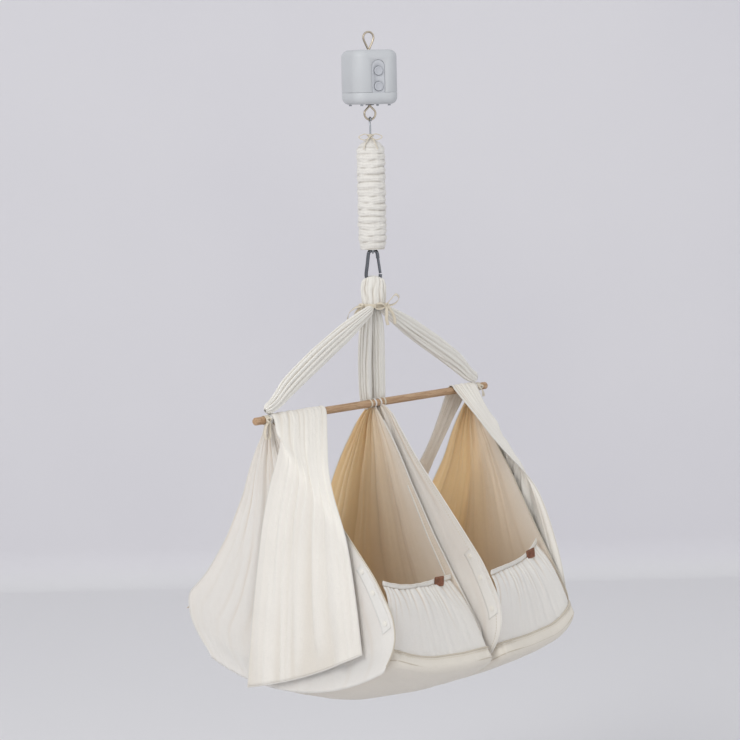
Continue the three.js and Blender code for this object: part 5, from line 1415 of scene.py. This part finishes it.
def make_mattress(name, side):
    """Foam pad in a cotton cover, crowned, with a piped seam round its middle."""
    start, thick, edge = 2.7, 40.0, 8.7
    turn = plan_turns(200)
    profile = [(0.02, start + 1, 0), (0.5, start + 1, 2), (0.8, start + 1, 6)]
    for a in np.linspace(0.25, math.pi - 0.25, 13):
        profile.append((1, start + thick * 0.5 * (1 - math.cos(a)), edge + 9 - 7.5 * math.sin(a)))
    profile += [(0.8, start + thick + 1.5, 6), (0.5, start + thick + 3, 2), (0.02, start + thick + 4, 0)]
    rings = [plan_point(side, turn, reach, height, margin) for reach, height, margin in profile]
    pad = ring_body(f"{name}_pad", rings)
    swell_pad(pad, 0.006)
    finish_piece(pad, f"{name}_cradle", "padding", f"{name}_mattress")
    seam = plan_point(side, turn, 1, start + thick * 0.5, edge - 3.2)
    wire(f"{name}_pad_piping", seam, 3.0, f"{name}_cradle", "padding", closed=True, sides=10)


# aprons at the foot end
def apron_gathers(side, u, v):
    """Gathers below the elastic, a few of them running down to the tray."""
    return 0.8 * apron_pleats(side, u, v) * apron_reach(u, v) + 0.9 * ridges(u, v, 77 + side, 7, 0.06)


def apron_pleats(side, u, v):
    """Pleats of uneven width below the elastic."""
    bent = u + 0.024 * np.sin(TURN * 2.3 * u + side) + 0.013 * np.sin(TURN * 5.1 * u + 2.0 * v)
    return pleats(bent, 1.2 * v, 71 + side, 15)


def apron_reach(u, v):
    """How far down each pleat runs, from 0 to 1."""
    uneven = 0.22 * np.sin(TURN * 3.4 * u + 1.0) + 0.16 * np.sin(TURN * 7.7 * u)
    return smooth(1.7 * v - 0.62 + uneven)


def apron_place(side, outer_flap, u, v, fine=0.0):
    """Place on the low gathered wall by its shares across and up; fine is the share of its gathers."""
    across = mix(CRADLE_INSET + 4, OUTER_X - 4, u)
    share = (across - CRADLE_INSET) / CRADLE_WIDTH
    bottom = HULL_RADIUS - lift(share) - TRAY_HEIGHT + 1.5
    flap = u if outer_flap else 1 - u
    sag = (APRON_FLAP_DROP + 18) * flap**2 + 7.0 * np.sin(math.pi * u)
    top = bottom - APRON_HEIGHT + sag + 0.4 * lift(share)
    top_angle = mix(SEAM_ANGLE - 2, FLAP_ANGLE - 0.5, flap)
    angle = rad(1) * mix(FRONT_ANGLE - 0.25, top_angle, smooth(v) * 0.4 + v * 0.6)
    open_share = np.sqrt(np.clip(np.sin(math.pi * u), 0, 1))
    ruffle = 0.8 * v * open_share * np.cos(TURN * 7 * u)
    small = apron_gathers(side, u, v) * (0.8 + 6.0 * v**2) * open_share
    low = waves(u, 2 * v, 74 + side, (9, 15)) * 0.9 * (1 - v) * open_share
    bulge = 11 * np.sin(math.pi * v**1.2) + ruffle + (small + low) * fine
    radius = mix(bottom, top, v)
    corner = 1 - (1 - np.abs(2 * share - 1) ** (2 / FRONT_CORNER)) ** (FRONT_CORNER / 2)
    inward = corner * HULL_RADIUS * rad(FRONT_ANGLE) * (1 - v) ** 2
    return about_bar(side * across, radius, angle + (bulge - inward) / radius)


def make_apron(name, side, outer_flap):
    u, v = np.meshgrid(np.linspace(0, 1, 240), np.linspace(0, 1, 54))
    grid = apron_place(side, outer_flap, u, v, 1.0)
    # painted shade in the valleys of the pleats under the elastic; the apron's inside also gets painted warm
    # shade
    short = apron_reach(u, v) * (0.3 + 0.7 * v**2)
    fold = np.clip(1.3 * (1 - apron_pleats(side, u, v)) ** 3 * short, 0, 1)
    body = f"{name}_cradle"
    looks = {"toward": inside_of(side), "warmth": 0.45, "outer_warmth": 0.03, "fold": fold}
    apron = cloth_sheet(f"{name}_gathered_front", grid, 1.2, **looks)
    finish_piece(apron, body, "cradle_cloth", f"{name}_apron")
    u = np.linspace(0, 1, 240)
    lane = np.linspace(-1, 1, 14)[:, None]
    top = apron_place(side, outer_flap, u, np.ones_like(u)) + [0, 0, HEM_RISE]
    gather = waves(u, 0, 78 + side, (31, 47, 61))
    half_deep, half_high = 2.6, 5.8
    tube_out = (half_deep + 0.7 * gather[None, :]) * np.sqrt(np.clip(1 - lane**2, 0, 1))
    front, back = (top[None] + xyz(0, out, half_high * lane) for out in (-tube_out, tube_out))
    hem = ring_body(f"{name}_elastic_hem", np.concatenate([front, back[::-1][1:-1]]).transpose(1, 0, 2))
    finish_piece(hem, body, "cradle_cloth", f"{name}_apron_elastic", plain_cotton)
    for tag, level in (("upper", 3.9), ("lower", -4.4)):
        reach = half_deep * math.sqrt(1 - (level / half_high) ** 2) + 0.35
        line = top + xyz(0, -reach - 0.5 * np.clip(gather, 0, 1), level)
        sew(f"{name}_hem_{tag}_stitches", line, body, "cradle_cloth", 3.0, 1.8, 0.4)
    make_tab(name, side, outer_flap)


def make_tab(name, side, outer_flap):
    """Bare leather tab sewn round its edge, with rounded corners and rounded edges."""
    share = 74 / CRADLE_WIDTH if outer_flap else 1 - 74 / CRADLE_WIDTH
    gap, wide, high = 8.6, 34, 22
    outline = rounded_rectangle(wide, high, 3.0, 8)
    ends = apron_place(side, outer_flap, share + np.array([-0.04, 0.0, 0.04]), np.ones(3))
    run = unit((ends[2] - ends[0]) * [1.0, 0.25, 1.0])
    rise = np.array([-run[2], 0.0, run[0]]) / math.hypot(run[0], run[2])

    def place(x, z, y):
        return ends[1] + x[:, None] * run + z[:, None] * rise + xyz(0, -gap - y, HEM_RISE)

    rings = []
    for inset, y in [(0.9, -1.2), (0.3, -1.05), (0, -0.6), (0, 0.6), (0.3, 1.05), (0.9, 1.2)]:
        scale_x, scale_z = 1 - 2 * inset / wide, 1 - 2 * inset / high
        rings.append(place(outline[:, 0] * scale_x, outline[:, 1] * scale_z, y))
    tab = ring_body(f"{name}_leather_label", rings)
    finish_piece(tab, f"{name}_cradle", "leather", f"{name}_leather_tab")
    edge = rounded_rectangle(wide - 5, high - 5, 2.0, 6)
    dense = spline([*edge, edge[0]], 6)
    line = place(dense[:, 0], dense[:, 1], 1.25)
    sew(f"{name}_label_stitches", line, f"{name}_cradle", "leather", 2.4, 1.4, 0.32, tan_thread)


# studs, piping and stitches on the walls
def make_snaps(name, side, outer):
    """Tape with three press studs along the flap's front edge."""
    u, v = np.meshgrid(np.linspace(0.94, 0.985, 9), np.linspace(0.74, 0.92, 60) ** 1.5)
    grid = wall_place(side, outer, True, u, v) + [-1.2, 0, 0]
    tape = cloth_sheet(f"{name}_stud_tape", grid, 0.5)
    finish_piece(tape, f"{name}_cradle", "tape", f"{name}_snap_tape", paint["stud_tape"])
    places = [grid[int(59 * share), 4] + [-1.0, 0, 0] for share in (0.1, 0.45, 0.9)]
    heads(f"{name}_press_studs", places, [(-1, 0, 0)] * 3, 5.5, 2.0, f"{name}_cradle", "tape", stud_cap)


def make_wall_trim(name, side, outer):
    """Piping on both walls' edges, with a stitch line beside the front one."""
    body, slot = f"{name}_cradle", "cradle_cloth"
    shares = np.linspace(0.06, 0.985, 220)
    for tag, is_outer in (("outer", True), ("inner", False)):
        flap, away = is_outer == outer, side if is_outer else -side

        def line(u, shares, proud=0.0):
            return wall_place(side, is_outer, flap, np.full_like(shares, u), shares, proud)

        # the outer wall's front piping takes the darker cotton as painted shadow along its seam
        front = seam_shadow_cotton if is_outer else plain_cotton
        wire(f"{name}_{tag}_edge_piping", line(1.0, shares), 3.2, body, slot, sides=10, material=front)
        sew(f"{name}_{tag}_edge_stitches", line(0.975, shares[8:], away * 1.1), body, slot, 4.0, 2.4, 0.4)
        if not flap:
            seam = line(0.955, shares[60:], away * 1.6)
            wire(f"{name}_{tag}_seam_piping", seam, 3.0, body, slot, sides=10, material=plain_cotton)
        back = line(0.0, np.linspace(0.1, 0.97, 160))
        wire(f"{name}_{tag}_back_piping", back, 2.8, body, slot, sides=8, material=plain_cotton)


# canopies
DRAPES = {
    -1: {"near": 66.0, "far": 300.0, "angle": 45.4, "ease": 1.6, "front": 251.0, "back": -92.0},
    1: {"near": 110.0, "far": 250.0, "angle": 37.5, "ease": 0.6, "front": 266.0, "back": -112.0},
}
# shade is the amount of painted shade in the drape's fold valleys, warmth the amount of its painted warm
# shade
DRAPES[-1].update(front_drop=483.0, back_drop=602.0, bar=(342.0, 178.0), swing=0.0, shade=0.4, warmth=0.75)
DRAPES[1].update(front_drop=446.0, back_drop=600.0, bar=(342.0, 262.0), swing=0.6, shade=0.04, warmth=0.3)


def canopy_stations(side, u):
    """Places down the canopy for an array of shares across it, from the head end to the front hem."""
    drape = DRAPES[side]
    bar_x = mix(*drape["bar"], u)
    over = ON_BAR + 1.6
    cross = mix(drape["near"], drape["far"], u)
    angle, head = rad(drape["angle"]) * mix(0.9, 1.0, u), rad(25)
    hem_y = -mix(drape["back"], drape["front"], u)
    hem_drop = mix(drape["back_drop"], drape["front_drop"], u) + 12 * np.sin(math.pi * u)
    head_x = mix(OUTER_X - 9, CRADLE_INSET + 9, u)

    def out(radius):
        return wall_x(True, radius) + CANOPY_GAP

    def toward(share, turn):
        x = mix(bar_x, out(cross), 1 - (1 - share) ** drape["ease"])
        return about_bar(side * x, mix(over, cross, share), angle * turn)

    crossing = toward(1.0, 1.0)

    def hang(share, spread):
        x = mix(out(cross), out(OUTER_WALL) + CANOPY_GAP / 2, share)
        y = mix(crossing[..., 1], hem_y, spread)
        return xyz(side * x, y, BAR - mix(BAR - crossing[..., 2], hem_drop, share))

    middle_x = mix(mix(head_x, bar_x, 0.75), 252.0, drape["swing"])
    return [
        about_bar(side * head_x, HULL_RADIUS - TRAY_HEIGHT - OUTER_LIFT, -rad(BACK_ANGLE)),
        about_bar(side * mix(head_x, bar_x, 0.3), 0.66 * HULL_RADIUS, -1.1 * head),
        about_bar(side * middle_x, 0.3 * HULL_RADIUS, -head),
        *(about_bar(side * bar_x, over, rad(turn)) for turn in (-110, -155, 160, 115)),
        *(toward(*at) for at in ((0.3, 1.25), (0.65, 1.08), (1.0, 1.0))),
        *(hang(*at) for at in ((0.2, 0.35), (0.5, 0.65), (0.78, 0.87), (1, 1))),
    ]


def soften(line):
    """A line of numbers with its corners rounded."""
    kernel = np.hanning(21)
    padded = np.pad(line, 10, mode="reflect", reflect_type="odd")
    return np.convolve(padded, kernel / kernel.sum(), "valid")


def canopy_grid(side, u, steps=12):
    """Dense grid over the canopy with its folds: rows run down, columns across."""
    rows = spline(canopy_stations(side, u), steps)
    at = (np.arange(len(rows)) / steps)[:, None]
    rows = mix(rows, np.apply_along_axis(soften, 0, rows), (smooth(at - 7.0) * smooth(13 - at))[..., None])
    across, down = u[None, :], np.clip((at - 6) / 7, 0, 1)
    falling = smooth(down / 0.5)
    near_bar = np.exp(-(((at - 5.3) / 2.4) ** 2))
    gather = 0.45 * pleats(across, 0.3 * at, 99 + side, 7)
    gather = gather + 0.4 * ridges(across, 0.08 * at, 103 + side, 15, 0.02)
    broad = ridges(across, down, 90 + side, 6, 0.14)
    small = ridges(across, down, 95 + side, 15, 0.05)
    head_folds = ridges(across, np.clip(1 - at / 3.5, 0, 1), 92 + side, 7) * smooth((4 - at) / 2)
    rise = 15.0 * falling * broad + 2.6 * (0.3 + 0.7 * falling) * small
    rise = rise + 3.4 * near_bar * gather + 7.0 * head_folds
    turn = smooth((at - 6.2) / 1.6)
    over_bar = np.exp(-(((at - 4.8) / 1.5) ** 2))
    axis = unit((rows - [0, 0, BAR]) * [0, 1, 1])
    outward = mix(xyz(side * turn, turn - 1, 0 * turn), axis, over_bar[..., None])
    # painted shade in the fold valleys as the drape falls, and in the gathers over the bar
    hollow_shade = DRAPES[side]["shade"] * np.exp(-2.5 * (small + broad)) * falling
    fold = np.clip(0.9 * np.clip(1 - gather, 0, 1) ** 3 * near_bar + hollow_shade, 0, 1)
    return rows + outward * rise[..., None], fold, at


def make_canopy(name, side):
    u = np.linspace(0, 1, 190)
    grid, fold, at = canopy_grid(side, u)
    # painted warm shade, strongest at the head end and fading down the drape
    warm = np.clip(DRAPES[side]["warmth"] - 0.06 * at, 0, 1)
    toward, body = (side * 160.0, -60.0, BAR - 300), f"{name}_cradle"
    canopy = cloth_sheet(f"{name}_drape", grid, 1.0, toward, False, warm, 0.03, fold)
    finish_piece(canopy, body, "canopy_cloth", f"{name}_canopy")
    for tag, line in (("front", grid[3:, -1]), ("far", grid[3:, 0]), ("lower", grid[-1])):
        wire(f"{name}_canopy_{tag}_hem", line, 2.6, body, "canopy_cloth", sides=8, material=plain_cotton)


# darker cotton for the outer wall piping and the tray seams: painted shadow along the seam lines
seam_shadow_cotton = cotton("seam_shadow_cotton", srgb(204, 194, 178), srgb(176, 158, 132), crease=0.4)
plain_cotton = cotton("piping_cotton", srgb(226, 222, 216), srgb(176, 158, 132), crease=0.4)
tan_thread = hide("tan_thread", srgb(188, 150, 112))
for side_name, side_sign in SIDES:
    make_tray(side_name, side_sign)
    make_mattress(side_name, side_sign)
    for maker in (make_apron, make_snaps, make_wall_trim):
        maker(side_name, side_sign, side_sign < 0)
    make_canopy(side_name, side_sign)


# carried-over CAD pieces
def finish_nodes():
    """Gives each CAD node that still shows the material of its record slot."""
    for part in frame["record"]["subparts"]:
        node = bpy.data.objects.get(part["node"])
        if node is None or node.type != "MESH":
            continue
        node.data.materials.clear()
        node.data.materials.append(paint[part["material_slot"]])


finish_nodes()
